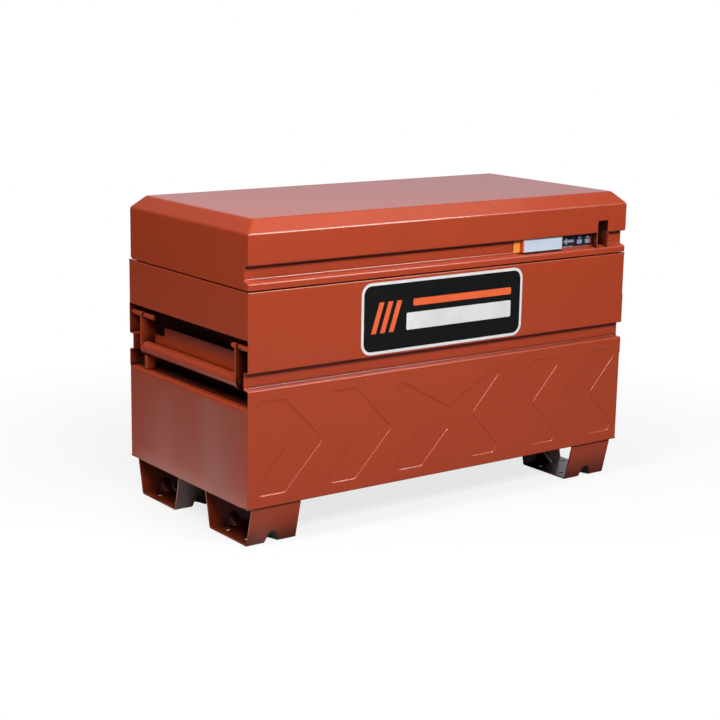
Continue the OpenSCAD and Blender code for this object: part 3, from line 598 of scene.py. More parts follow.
def plate_with_holes(bm, outline, holes, place):
    """Fills a 2D outline with holes by triangles. place turns a 2D point into a 3D point."""
    points, edges = [], []
    for loop in [outline, *holes]:
        first = len(points)
        points += [Vector(p) for p in loop]
        edges += [(first + i, first + (i + 1) % len(loop)) for i in range(len(loop))]
    flat, _, faces, *_ = geometry.delaunay_2d_cdt(points, edges, [], 0, 1e-7)
    verts = {}
    for face in faces:
        middle = sum((flat[i] for i in face), Vector((0, 0))) / len(face)
        if not is_inside(middle, outline) or any(is_inside(middle, h) for h in holes):
            continue
        for i in face:
            if i not in verts:
                verts[i] = bm.verts.new(place(flat[i]))
        bm.faces.new([verts[i] for i in face])


def prism(bm, outline, holes, place, thick):
    """Closed plate: a 2D outline with holes, from 0 to thick. place takes (u, v, depth)."""
    for depth in (0.0, thick):
        plate_with_holes(bm, outline, holes, lambda p: place(p[0], p[1], depth))
    for loop in [outline, *holes]:
        strip(bm, [[place(p[0], p[1], d) for p in loop] for d in (0.0, thick)], wrap=True)


def lathe(bm, profile, place, count):
    """Turns a profile of (along, radius) points about an axis. place takes (along, u, v)."""
    strip(bm, [[place(along, p.x, p.y) for p in circle(r, count)] for along, r in profile], wrap=True)


def to_object(name, bm):
    """A scene object in metres from a mesh in millimetres."""
    bmesh.ops.scale(bm, vec=(MM, MM, MM), verts=bm.verts)
    mesh = bpy.data.meshes.new(name)
    bm.to_mesh(mesh)
    bm.free()
    thing = bpy.data.objects.new(name, mesh)
    bpy.context.scene.collection.objects.link(thing)
    return thing


def to_smooth_object(name, bm, facing=None):
    """A smooth object from a mesh, joined up. facing turns an open skin's outside that way."""
    bmesh.ops.remove_doubles(bm, verts=bm.verts, dist=0.002)
    bmesh.ops.recalc_face_normals(bm, faces=bm.faces)
    if facing:
        facing = Vector(facing)
        best = max(bm.faces, key=lambda f: f.calc_area() * abs(f.normal.dot(facing)))
        if best.normal.dot(facing) < 0:
            bmesh.ops.reverse_faces(bm, faces=bm.faces)
    for f in bm.faces:
        f.smooth = True
    return to_object(name, bm)


def modify(thing, name, kind, **settings):
    """Adds a modifier with its settings."""
    modifier = thing.modifiers.new(name, kind)
    for key, value in settings.items():
        setattr(modifier, key, value)


def bevel(thing, width, angle, segments, name="edges"):
    """Rounds the edges whose faces turn by more than an angle in degrees, by a width in metres."""
    modify(thing, name, "BEVEL", width=width, segments=segments, limit_method="ANGLE",
           angle_limit=math.radians(angle), use_clamp_overlap=True, harden_normals=False)


def even_normals(thing):
    """Weights a piece's normals by face area, so that flat sheet shades flat."""
    modify(thing, "normals", "WEIGHTED_NORMAL", mode="FACE_AREA", weight=60, keep_sharp=True)


def shaped(name, bm, facing=None, thick=0.0, bend=0.0, cuts=(), edge=0.0, angle=50, segments=2):
    """A finished piece from a mesh. Its bends are rounded first, then it is thickened, cut and has
    its edges rounded. Each cut is (outline, place, depth), as prism takes them."""
    thing = to_smooth_object(name, bm, facing)
    if bend:
        bevel(thing, bend * MM, 20, 4, "bends")
    if thick:
        modify(thing, "sheet", "SOLIDIFY", thickness=thick * MM, offset=-1.0, use_even_offset=True)
    tools = []
    for outline, place, depth in cuts:
        cutter = bmesh.new()
        prism(cutter, outline, [], place, depth)
        tools.append(to_smooth_object(name + "_cutter", cutter))
        modify(thing, "cut", "BOOLEAN", operation="DIFFERENCE", solver="EXACT", object=tools[-1])
    if edge:
        bevel(thing, edge * MM, angle, segments)
    even_normals(thing)
    # The modifiers are applied to the mesh
    bpy.context.view_layer.update()
    graph = bpy.context.evaluated_depsgraph_get()
    made = bpy.data.meshes.new_from_object(thing.evaluated_get(graph), depsgraph=graph)
    old = thing.data
    thing.modifiers.clear()
    thing.data = made
    made.name = thing.name
    bpy.data.meshes.remove(old)
    for tool in tools:
        bpy.data.objects.remove(tool)
    return thing


def own(thing, body, slot, coats, *stands_for):
    """Gives a piece its body, slot, finishes and the nodes that it stands for."""
    for coat in coats.split():
        thing.data.materials.append(finish(coat))
    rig.ride(thing, body)
    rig.slot(thing, slot)
    if stands_for:
        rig.replaces(thing, *stands_for)


def dress(coat, edge, *names):
    """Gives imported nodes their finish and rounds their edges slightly."""
    for name in names:
        thing = frame["nodes"][name]
        thing.data.materials.clear()
        thing.data.materials.append(finish(coat))
        modify(thing, "weld", "WELD", merge_threshold=0.00001)
        bevel(thing, edge * MM, 35, 2)
        even_normals(thing)


# Case panels

def chevron_outlines():
    """Closed outlines of the pressed chevrons as (x, z), the inmost pair joined, anticlockwise."""
    wide, lean, tail, cut_x, cut_z, half = 94.0, 98.0, 63.0, 12.0, 17.0, 102.0
    mid_z, outer_tips, inner_tip = 217.0, (-437.0, -253.5), -70.0

    def shape(tip):
        heel = tip + wide - lean
        toe = heel - tail
        return [(tip, 0), (toe - cut_x, cut_z - half), (toe, -half), (heel, -half), (tip + wide, 0),
                (heel, half), (toe, half), (toe - cut_x, half - cut_z)]

    loops = []
    for left in map(shape, outer_tips):
        loops += [left, [(-x, z) for x, z in reversed(left)]]
    left = shape(inner_tip)
    cross = half * (inner_tip + wide) / lean
    arm = left[6:] + left[:4]
    loops.append(arm[2:] + [(0.0, -cross)] + [(-x, z) for x, z in reversed(arm)] + [(0.0, cross)] + arm[:2])
    return [[(x, z + mid_z) for x, z in loop] for loop in loops]


def pressed_rings(loop):
    """Rings of a pressing from its outer edge to its floor, each with its depth behind the face."""
    slope, radius, depth = size("pressing_slope"), size("pressing_round"), size("pressing_depth")
    steps, outside_share, least_radius = 6, 0.35, 1.5
    count = len(loop)
    signs = []
    for i in range(count):
        a, b, c = Vector(loop[i - 1]), Vector(loop[i]), Vector(loop[(i + 1) % count])
        signs.append(1 if (b - a).x * (c - b).y - (b - a).y * (c - b).x > 0 else -1)
    rings = []
    for k in range(steps + 1):
        t = k / steps
        off = slope * (outside_share - t)
        radii = [max(least_radius, radius + sign * off) for sign in signs]
        rings.append((rounded(grown(loop, off), radii, 5, closed=True), depth * (t * t * (3 - 2 * t))))
    return rings


def build_panel(name, facing, rim, lip, pressed):
    """A front (facing -1) or back (facing 1) panel: filleted section, wrapped vertical corners,
    pressed chevrons. Its section runs from the rim's inner edge to the floor flange."""
    bm = bmesh.new()
    bend = size("bend")
    face = BACK_Y if facing > 0 else FRONT_Y
    rim_y, channel_y = face - facing * rim, face - facing * CHANNEL_IN
    path = [(rim_y, RIM_Z - lip)] if lip else []
    path += [(rim_y, RIM_Z), (face, RIM_Z), (face, CHANNEL_TOP), (channel_y, CHANNEL_TOP),
             (channel_y, CHANNEL_BOT + LEDGE_DROP), (face, CHANNEL_BOT), (face, FOOT_H),
             (face - facing * FLOOR_FLANGE, FOOT_H)]
    section = [tuple(p) for p in rounded(path, bend, 4)]

    def is_face(y):
        return abs(y - face) < NEAR

    # Rows are added where the wrapped corner starts and ends
    rows = []
    for a, b in zip(section, section[1:]):
        rows.append(a)
        if is_face(a[0]) and is_face(b[0]):
            rows += [(face, z) for z in (POCKET_TOP, POCKET_BOT) if a[1] > z + CLOSE > b[1] + 2 * CLOSE]
    rows.append(section[-1])
    flat = [is_face(a[0]) and is_face(b[0]) for a, b in zip(rows, rows[1:])]
    face_top = max(z for y, z in rows if is_face(y) and z < CHANNEL_BOT) + NEAR

    def reach(y, z):
        """How far a row runs along x: the lip of the mouth stops inside the end panel's sheet."""
        tucked = CHANNEL_TOP < z < RIM_Z - NEAR and abs(y - face) > rim - bend - NEAR
        return HALF_W - (SHEET + GAP if tucked else 0.0)

    inner_x = HALF_W - bend
    grid = [[bm.verts.new((sx * inner_x, y, z)) for sx in (-1, 1)] for y, z in rows]
    for i, pair in enumerate(zip(grid, grid[1:])):
        if not (pressed and flat[i] and rows[i][1] <= face_top):
            join_rows(bm, pair)
    turns = [math.pi / 2 * k / 4 for k in range(5)]
    wrapped = [(inner_x + bend * math.sin(s), bend * (1 - math.cos(s))) for s in turns]
    for sx in (-1, 1):
        for pair, is_flat in zip(zip(rows, rows[1:]), flat):
            zs = [z for y, z in pair]
            if is_flat and (max(zs) <= POCKET_BOT + CLOSE or min(zs) >= POCKET_TOP - CLOSE):
                strip(bm, [[(sx * x, face - facing * back, z) for x, back in wrapped] for z in zs])
            else:
                strip(bm, [[(sx * inner_x, y, z), (sx * reach(y, z), y, z)] for y, z in pair])
    if pressed:
        holes = []
        for rings in map(pressed_rings, chevron_outlines()):
            holes.append(rings[0][0])
            strip(bm, [[(p.x, face - facing * down, p.y) for p in ring] for ring, down in rings], wrap=True)
            floor, depth = rings[-1]
            plate_with_holes(bm, floor, [], lambda p: (p[0], face - facing * depth, p[1]))
        stops = [z for y, z in rows if is_face(y) and z <= face_top]
        outline = [(-inner_x, z) for z in stops] + [(inner_x, z) for z in reversed(stops)]
        plate_with_holes(bm, outline, holes, lambda p: (p[0], face, p[1]))
    return shaped(name, bm, (0, facing, 0), SHEET, edge=size("edge"))


def end_reach():
    """How far an end panel runs along y from the middle, just inside the wrapped corners."""
    return INNER_Y - (size("bend") - SHEET) - GAP / 2


def build_lower_end(name, node, side):
    """A lower end panel with its rolled top edge."""
    low, high = corners(node)
    flange_x = high.x if side < 0 else low.x
    path = [(side * HALF_W, FOOT_H), (side * HALF_W, POCKET_BOT), (flange_x, POCKET_BOT)]
    columns = 24
    ys = [end_reach() * (2 * k / columns - 1) for k in range(columns + 1)]
    bm = bmesh.new()
    strip(bm, [[(p.x, y, p.y) for y in ys] for p in rounded(path, END_ROLL, 10)])
    return shaped(name, bm, (side, 0, 0), SHEET, edge=0.3)


def build_upper_end(name, side):
    """An upper end panel with its flange around the mouth, which stops short of the other rims."""
    bend = size("bend")
    path = [(side * HALF_W, POCKET_TOP), (side * HALF_W, RIM_Z), (side * (HALF_W - FRONT_RIM), RIM_Z)]
    rows = []
    for p in rounded(path, bend, 4):
        y0, y1 = -end_reach(), end_reach()
        if abs(p.x) < HALF_W - bend + CLOSE:
            y0, y1 = FRONT_Y + FRONT_RIM + GAP, BACK_Y - BACK_RIM - GAP
        rows.append([(p.x, y0, p.y), (p.x, y1, p.y)])
    bm = bmesh.new()
    strip(bm, rows)
    return shaped(name, bm, (side, 0, 0), SHEET, edge=0.3)


# Handles

def build_arms(name, node):
    """The two arms of a handle: round at the foot around the grip, with a hole for the pin."""
    play, foot_gap, top_round = 0.1, 0.2, 6.0
    low, high = corners(node)
    pins_low, pins_high = corners(node.replace("arms", "pins"))
    pin = ((pins_low.x + pins_high.x) / 2, (pins_low.z + pins_high.z) / 2)
    foot_round = (high.x - low.x) / 2 - foot_gap
    outline = rounded_box(low.x, low.z, high.x, high.z, [foot_round, foot_round, top_round, top_round], 10)
    hole = circle((pins_high.x - pins_low.x) / 2 + play, 28, pin)
    bm = bmesh.new()
    for y in (low.y, high.y - ARM):
        prism(bm, outline, [hole], lambda u, v, d: (u, y + d, v), ARM)
    return shaped(name, bm, edge=0.9, angle=40, segments=3)


def build_web(name, node):
    """The plate above the grip, with its notched upper corners and rolled edges."""
    low, high = corners(node)
    notch_w, notch_z = 45.0, high.z - 22.0
    y0, y1 = low.y + notch_w, high.y - notch_w
    outline = [(low.y, low.z), (high.y, low.z), (high.y, notch_z), (y1, notch_z), (y1, high.z), (y0, high.z),
               (y0, notch_z), (low.y, notch_z)]
    bm = bmesh.new()
    prism(bm, rounded(outline, [0.6] * 2 + [3.0] * 6, 5, closed=True), [],
          lambda u, v, d: (low.x + d, u, v), high.x - low.x)
    return shaped(name, bm, edge=0.9, angle=40, segments=3)


def build_grip(name, node):
    """The grip tube with a rippled weld bead where it meets each arm."""
    low, high = corners(node)
    x, z = (low.x + high.x) / 2, (low.z + high.z) / 2
    outer, wall, chamfer = (high.x - low.x) / 2, 3.0, 0.8
    inner = outer - wall
    profile = [(low.y, inner), (low.y, outer - chamfer), (low.y + chamfer, outer), (high.y - chamfer, outer),
               (high.y, outer - chamfer), (high.y, inner), (low.y, inner)]
    bm = bmesh.new()
    lathe(bm, profile, lambda along, u, v: (x + u, along, z + v), 64)
    count, beads, across = 96, 30, 6
    bead_wide, sunk, start_gap = 3.4, 0.5, 0.05
    for start, way in ((low.y + ARM, 1), (high.y - ARM, -1)):
        rows = []
        for k in range(count):
            s = 2 * math.pi * k / count
            ripple = 0.35 * math.sin(beads * s) + 0.25 * math.sin(7 * s + 1.0)
            row = []
            for j in range(across + 1):
                t = math.pi * j / across
                r = outer - sunk + (1.0 + 0.4 * ripple) * (0.5 + 0.5 * math.cos(t))
                along = start + way * (start_gap + (bead_wide + ripple) * math.sin(t / 2))
                row.append((x + r * math.cos(s), along, z + r * math.sin(s)))
            rows.append(row)
        strip(bm, rows + rows[:1])
    return shaped(name, bm)


def build_pins(name, node):
    """The round pivot pins of a handle, chamfered at both ends."""
    low, high = corners(node)
    x, z, r = (low.x + high.x) / 2, (low.z + high.z) / 2, (high.x - low.x) / 2
    front_end, rear_end, chamfer, broken = 178.0, 157.0, 1.2, 0.3
    bm = bmesh.new()
    for way, near, far in ((-1, front_end, -low.y), (1, rear_end, high.y)):
        profile = [(near, 0.0), (near, r - chamfer), (near + chamfer, r),
                   (far - broken, r), (far, r - broken), (far, 0.0)]
        lathe(bm, profile, lambda along, u, v: (x + u, way * along, z + v), 40)
    return shaped(name, bm)


# Feet

def finely(points, step, low, high):
    """A path with extra points no more than a step apart where its z lies between two heights."""
    out = [points[0]]
    for a, b in zip(points, points[1:]):
        if low <= min(a.y, b.y) < high:
            count = max(1, math.ceil((b - a).length / step))
            out += [a.lerp(b, k / count) for k in range(1, count)]
        out.append(b)
    return out


def dented(point, aside, crest, inward, radius):
    """A point of a foot's section pushed in behind the round dent, aside from the dent's middle."""
    steep, soft = 0.9 * radius, 1.6
    edge = math.sqrt(radius ** 2 - steep ** 2)
    if abs(aside) < steep:
        level = math.sqrt(radius ** 2 - aside ** 2) - radius
    else:
        level = edge - radius - steep / edge * (abs(aside) - steep)
    more = level - (point - crest).dot(inward)
    if more < -soft:
        return point
    return point + inward * (more if more > soft else (more + soft) ** 2 / (4 * soft))


def build_foot(name, node):
    """A bent foot with caster holes, and a dent pressed across both of its bends."""
    low, high = corners(node)
    near = -1 if low.y < 0 else 1
    out_y, in_y = (low.y, high.y) if near < 0 else (high.y, low.y)
    lean, flange, plate = 21.0, 24.0, 3.0
    hole_radius, hole_pitch, cut_under, cut_high = 6.0, 76.2, 5.0, 15.0
    base_out, base_in = out_y - near * lean, in_y + near * lean
    path = [(out_y - near * flange, FOOT_H), (out_y, FOOT_H), (base_out, 0), (base_in, 0), (in_y, high.z),
            (in_y + near * flange, high.z)]
    section = finely(rounded(path, [0, 4.0, 5.0, 5.0, 4.0, 0], 6), 2.0, -1.0, 52.0)
    mid_x, mid_y = (low.x + high.x) / 2, (base_out + base_in) / 2
    half_base = abs(base_out - base_in) / 2
    # A dent runs from its crest up the side to where it meets the base
    dent_h, dent_in, dent_radius = 26.0, 34.0, 14.0
    dents = []
    for way in (-1, 1):
        crest = Vector((mid_y + way * (half_base + lean * dent_h / FOOT_H), dent_h))
        run = Vector((mid_y + way * (half_base - dent_in), 0.0)) - crest
        dents.append((way, crest, Vector((-way * abs(run.y), abs(run.x))).normalized()))
    # Columns stand closely at the dent and widely beside it
    fine, wide = 1.25, (31.0, 46.0, 62.0)
    asides = [-w for w in reversed(wide)] + [k * fine for k in range(-20, 21)] + list(wide)
    rows = []
    for p in section:
        row = []
        for aside in asides:
            q = p
            for way, crest, inward in dents:
                if way * (p.x - mid_y) > 0:
                    q = dented(p, aside, crest, inward, dent_radius)
            row.append((mid_x + aside, q.x, q.y))
        rows.append(row)
    bm = bmesh.new()
    strip(bm, rows)
    reach = hole_pitch / 2
    middles = [(mid_x + sx * reach, mid_y + sy * reach) for sx in (-1, 1) for sy in (-1, 1)]
    cuts = [(circle(hole_radius, 28, at), lambda u, v, d: (u, v, d - cut_under), cut_high) for at in middles]
    return shaped(name, bm, (0, 0, 1), plate, cuts=cuts, edge=0.5)


# Lid

def build_lid(name):
    """The lid's skin: section with its channel, slanted mitred ends, skirt below, and two slots."""
    shoulder, heel_in = TOP_Z - LID_SLANT, 12.0
    section = [
        (FRONT_Y, SKIRT_Z), (FRONT_Y, LID_Z + LID_FOOT), (LID_RECESS_Y, LID_CHANNEL_BOT),
        (LID_RECESS_Y, LID_CHANNEL_TOP), (FRONT_Y, LID_CHANNEL_TOP), (FRONT_Y, shoulder),
        (FRONT_Y + LID_SLANT, TOP_Z), (LID_BACK - LID_SLANT, TOP_Z), (LID_BACK, shoulder), (LID_BACK, LID_Z),
    ]
    bm = bmesh.new()
    grid = []
    for y, z in section:
        x = HALF_W - LID_SLANT if z > shoulder + 1 else HALF_W
        grid.append([bm.verts.new((sx * x, y, z)) for sx in (-1, 1)])
    join_rows(bm, grid)
    for side in zip(*grid):
        # The slanted end and the upright end below it
        bm.faces.new(side[5:9])
        heel = bm.verts.new((side[0].co.x, LID_BACK - heel_in, SKIRT_Z))
        bm.faces.new([*side[:6], *side[8:], heel])
    # The padlock slot, and the slot that the finger plate's studs slide in
    low, high = corners("padlock_housing")
    slot = rounded_box(low.x + SHEET, low.z + SHEET, high.x - SHEET, high.z - SHEET, 2.0, 4)
    travel, play = 30.0, 1.0
    low, high = corners("slide_studs")
    hidden = rounded_box(low.x - play, low.z - play, high.x + travel + play, high.z + play, 5.9, 5)
    before, deep = 4.0, 24.0
    cuts = [(outline, lambda u, v, d: (u, FRONT_Y - before + d, v), deep) for outline in (slot, hidden)]
    return shaped(name, bm, (0, 0, 1), SHEET, size("lid_bend"), cuts, size("edge"), 55)


def build_lid_flange(name):
    """The flange inside the lid's skirt, which shuts on the seal."""
    x, y0, y1 = HALF_W - SHEET, FRONT_Y + SHEET, LID_BACK - SHEET
    inset = LID_FLANGE - SHEET
    hole = rounded_box(inset - x, y0 + inset, x - inset, y1 - inset, 3.0, 4)
    bm = bmesh.new()
    prism(bm, rounded_box(-x, y0, x, y1, 1.0, 2), [hole], lambda u, v, d: (u, v, LID_Z + d), SHEET)
    return shaped(name, bm, edge=0.5)


def build_cheeks(name):
    """The two cheeks that close the lid's channel on both sides of the padlock slot."""
    low, high = corners("padlock_housing")
    y0, y1, top = FRONT_Y + 0.1, LID_RECESS_Y + 0.5, LID_CHANNEL_TOP + 0.4
    path = [(y0, low.z - 4.0), (y1, low.z + 1.5), (y1, top), (y0, top)]
    outline = rounded(path, [1.2, 0.5, 0.5, 1.2], 3, closed=True)
    bm = bmesh.new()
    for x in (low.x, high.x - SHEET):
        prism(bm, outline, [], lambda u, v, d: (x + d, u, v), SHEET)
    return shaped(name, bm, edge=0.4)


# Seal

def build_seal(name):
    """The mouth seal: a bulb with two ribs, bent around the four corners."""
    low, high = corners("mouth_seal")
    wide, height, corner = 10.0, high.z - low.z, 14.0
    half = [(0, 0), (0, 1.4), (1.1, 2.0), (0.7, 3.6), (2.4, height - 0.5), (4.2, height)]
    section = half[:1] + [(wide - u, v) for u, v in half] + [(wide / 2, height - 0.35)] + half[:0:-1]
    section = rounded(section, 0.7, 2, closed=True)
    loop = rounded_box(low.x, low.y, high.x, high.y, corner)
    rows = []
    for i, p in enumerate(loop):
        d = (loop[(i + 1) % len(loop)] - loop[i - 1]).normalized()
        rows.append([(p.x - d.y * q.x, p.y + d.x * q.x, low.z + q.y) for q in section])
    bm = bmesh.new()
    strip(bm, rows + rows[:1], wrap=True)
    return shaped(name, bm)


# Decal and label

def build_film(name, parts, y):
    """Flat printed film: each part is (outline, layer, material index), layer 0 being the film itself."""
    thick, print_thick, print_step, sunk = 0.22, 0.04, 0.03, 0.01
    bm = bmesh.new()
    for outline, layer, index in parts:
        known = set(bm.faces)
        start = y - thick - print_step * (layer - 1) + sunk if layer else y
        prism(bm, outline, [], lambda u, v, d: (u, start - d, v), print_thick if layer else thick)
        for f in set(bm.faces) - known:
            f.material_index = index
    bmesh.ops.recalc_face_normals(bm, faces=bm.faces)
    return to_object(name, bm)


def decal_parts():
    """The front decal: a pale rim, a dark ground, three slanted stripes and two bars."""
    low, high = corners("front_decal")
    rim, right = 6.5, 34.0
    foot_z, pale_top, band_z, head_z = (low.z + up for up in (46.0, 84.0, 98.0, 114.0))
    pale_x, band_x, stripes_x = low.x + 122.0, low.x + 140.0, (26.0, 50.0, 74.0)
    lean, stripe_wide = 22.0, 13.0
    parts = [
        (rounded_box(low.x, low.z, high.x, high.z, 26.0), 0, 0),
        (rounded_box(low.x + rim, low.z + rim, high.x - rim, high.z - rim, 20.0), 1, 1),
        (rounded_box(band_x, band_z, high.x - right, head_z, 3.0, 4), 2, 2),
        (rounded_box(pale_x, foot_z, high.x - right, pale_top, 3.0, 4), 2, 0),
    ]
    for foot in (low.x + x for x in stripes_x):
        head = foot + lean
        parts.append(([(foot, foot_z), (foot + stripe_wide, foot_z), (head + stripe_wide, head_z),
                       (head, head_z)], 2, 2))
    return parts


def label_parts():
    """The lock label: an arrow over two bars, two plain padlocks and a line at the right end."""
    low, high = corners("lock_label")
    mid = (low.z + high.z) / 2
    tip, neck, tail, head_half, shaft_half = 345, 357, 378, 9, 3.2
    bars_x, bar_wide, locks_x, lock_wide, shackle_in = (346, 363), 13, (389, 415), 16, 3
    arrow = [(tip, mid), (neck, mid - head_half), (neck, mid - shaft_half), (tail, mid - shaft_half),
             (tail, mid + shaft_half), (neck, mid + shaft_half), (neck, mid + head_half)]
    parts = [(rounded_box(low.x, low.z, high.x, high.z, 1.5, 4), 0, 0), (arrow, 1, 1),
             (rounded_box(high.x - 4.2, mid - 9, high.x - 3.0, mid + 9, 0.4, 2), 1, 1)]
    parts += [(rounded_box(x, low.z + 1.6, x + bar_wide, low.z + 3.4, 0.6, 2), 1, 1) for x in bars_x]
    for x in locks_x:
        x0, x1 = x + shackle_in, x + lock_wide - shackle_in
        parts += [(rounded_box(x, mid - 8, x + lock_wide, mid + 2, 1.5, 3), 1, 1),
                  (rounded_box(x0, mid + 4, x1, mid + 9, 2.2, 3), 1, 1)]
    return parts


# Operators

class PieceOperator:
    """What the operators share."""

    bl_options = {"REGISTER", "UNDO"}

    def execute(self, context):
        try:
            self.build(context)
        except Exception as problem:
            raise RuntimeError(f"{self.bl_label} could not be finished: {problem}") from problem
        return {"FINISHED"}


class BOX_OT_camera(PieceOperator, bpy.types.Operator):
    """Sets the camera at the photograph's view"""
    bl_idname = "storage_box.camera"
    bl_label = "Camera"

    def build(self, context):
        data = bpy.data.cameras.new("view_camera")
        data.lens = CAMERA_LENS
        data.sensor_width = CAMERA_SENSOR
        data.sensor_fit = "HORIZONTAL"
        data.clip_start, data.clip_end = 0.05, 100.0
        camera = bpy.data.objects.new("view_camera", data)
        camera.location = CAMERA_AT
        camera.rotation_euler = Euler([math.radians(turn) for turn in CAMERA_TURN], "XYZ")
        context.scene.collection.objects.link(camera)
        context.scene.camera = camera


class BOX_OT_stage(PieceOperator, bpy.types.Operator):
    """Makes the pale floor, the soft lamps and the white surroundings"""
    bl_idname = "storage_box.stage"
    bl_label = "Floor and light"

    # Name, place, aim, width, height, watts, and whether it lights matt and shiny surfaces
    LAMPS = (
        ("front_lamp", (-0.15, -2.6, 2.25), (-0.05, 0.0, 0.5), 3.0, 0.7, 99, True, True),
        ("left_lamp", (-1.95, -0.6, 2.40), (-0.3, 0.0, 0.3), 1.0, 1.0, 45, True, True),
        ("back_lamp", (0.4, 2.7, 1.6), (0.0, 0.0, 0.4), 3.0, 0.8, 24, True, False),
        ("sheen_lamp", (1.1, -0.8, 2.6), (-0.2, -0.25, 0.6), 1.8, 1.0, 4, False, True),
        ("edge_lamp", (1.75, -2.6, 2.1), (0.0, 0.0, 0.5), 0.9, 0.7, 50, False, True),
    )

    def build(self, context):
        drop, count, radii = -0.4, 48, (900.0, 2600.0, 9000.0, 24000.0)
        bm = bmesh.new()
        grid = [[bm.verts.new((p.x, p.y, drop)) for p in circle(r, count)] for r in radii]
        bm.faces.new(grid[0])
        join_rows(bm, grid, wrap=True)
        floor = to_smooth_object("studio_floor", bm, AXIS_Z)
        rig.stage(floor)
        floor.data.materials.append(self.floor_material())
        self.world(context)
        for name, at, aim, wide, high, watts, matt, shiny in self.LAMPS:
            data = bpy.data.lights.new(name, "AREA")
            data.shape = "RECTANGLE"
            data.size, data.size_y, data.energy = wide, high, watts
            lamp = bpy.data.objects.new(name, data)
            lamp.location = at
            lamp.visible_diffuse, lamp.visible_glossy = matt, shiny
            lamp.rotation_euler = (Vector(aim) - Vector(at)).to_track_quat("-Z", "Y").to_euler()
            context.scene.collection.objects.link(lamp)
        context.scene.view_settings.view_transform = "Standard"

    def floor_material(self):
        """Pale matt floor that fades to white away from the box for the camera and keeps the shadow.
        For other rays it is dim, with two soft pale bands and a sliver, which the left end mirrors."""
        material, tree, where = fresh_material("pale_floor")
        away = node_of(tree, "ShaderNodeVectorMath", where, operation="LENGTH").outputs["Value"]
        white = node_of(tree, "ShaderNodeEmission", WHITE).outputs[0]

        def matt(share, one, two):
            tone = blend_of(tree, share, [one] * 3, [two] * 3)
            return node_of(tree, "ShaderNodeBsdfDiffuse", tone).outputs[0]

        # Distances from the middle, in metres, over which it dims for light and fades for the camera
        dimming, fading = (1.6, 3.4), (0.70, 1.5)
        dim = matt(spread(tree, away, dimming), 0.17, 0.07)
        pale = matt(noise(tree, where, 3.0, 3.0), 0.86, 0.90)
        seen = mixed(tree, spread(tree, away, fading, (0.78, 1.0)), pale, white)
        # Directions across and along the view that the left end mirrors, and where each band lies
        across = along_axis(tree, where, (0.866, 0.50, 0.0))
        outward = along_axis(tree, where, (-0.50, 0.866, 0.0))
        places = ((0.402, 0.034), (0.529, 0.038))
        bands = maths(tree, "MAXIMUM", *(
            spread(tree, maths(tree, "ABSOLUTE", maths(tree, "ADD", across, at)), (0.008, wide), (0.62, 0.04))
            for at, wide in places))
        aside = along_axis(tree, where, AXIS_X)
        sliver = product(tree, spread(tree, aside, (-0.74, -0.69), (0.0, 0.9)),
                         spread(tree, aside, (-0.57, -0.55), FALLING))
        lit = product(
            tree, maths(tree, "MAXIMUM", bands, sliver), spread(tree, across, (-0.36, -0.33), FALLING),
            spread(tree, outward, (1.3, 1.7), FALLING), spread(tree, outward, (-0.1, 0.1)))
        camera_ray = node_of(tree, "ShaderNodeLightPath").outputs["Is Camera Ray"]
        unseen = mixed(tree, lit, dim, white)
        node_of(tree, "ShaderNodeOutputMaterial", mixed(tree, camera_ray, unseen, seen))
        return material

    def world(self, context):
        """White for the camera; for light, a soft room that is brighter behind the box than in front."""
        context.scene.world = bpy.data.worlds.new("soft_surroundings")
        tree = cleared_tree(context.scene.world)
        where = node_of(tree, "ShaderNodeTexCoord").outputs["Generated"]
        behind = along_axis(tree, where, (0.70, 0.70, 0.10))
        tone = blend_of(tree, spread(tree, behind, (0.55, 0.92)), (0.085, 0.085, 0.09), (0.60, 0.58, 0.63))
        room, white = (node_of(tree, "ShaderNodeBackground", colour).outputs[0] for colour in (tone, WHITE))
        camera_ray = node_of(tree, "ShaderNodeLightPath").outputs["Is Camera Ray"]
        node_of(tree, "ShaderNodeOutputWorld", mixed(tree, camera_ray, room, white))


class BOX_OT_panels(PieceOperator, bpy.types.Operator):
    """Makes the front panel with its pressed chevrons, and the back panel"""
    bl_idname = "storage_box.panels"
    bl_label = "Front and back panels"

    def build(self, context):
        for node, sheet in (("front_panel", build_panel("front_sheet", -1, FRONT_RIM, FRONT_LIP, True)),
                            ("back_panel", build_panel("back_sheet", 1, BACK_RIM, 0.0, False))):
            own(sheet, "case", "body_paint", "panel_powder_coat", node)


class BOX_OT_ends(PieceOperator, bpy.types.Operator):
    """Makes the lower and upper end panels, and dresses the pocket liners and floor"""
    bl_idname = "storage_box.ends"
    bl_label = "End panels"

    def build(self, context):
        for side, word in ((-1, "left"), (1, "right")):
            lower, upper = word + "_lower_end", word + "_upper_end"
            sheet = build_lower_end(word + "_lower_sheet", lower, side)
            own(sheet, "case", "body_paint", "end_powder_coat", lower)
            sheet = build_upper_end(word + "_upper_sheet", side)
            own(sheet, "case", "body_paint", "body_powder_coat", upper)
        # The pocket liners take painted shade, a near-black copy of the paint
        dress("pocket_powder_coat", 0.6, "left_pocket_liner", "right_pocket_liner")
        dress("inner_powder_coat", 0.6, "floor_panel")


class BOX_OT_feet(PieceOperator, bpy.types.Operator):
    """Makes the four bent feet"""
    bl_idname = "storage_box.feet"
    bl_label = "Feet"

    def build(self, context):
        for node in ("front_left_foot", "front_right_foot", "rear_left_foot", "rear_right_foot"):
            own(build_foot(node + "_plate", node), "case", "body_paint", "foot_powder_coat", node)


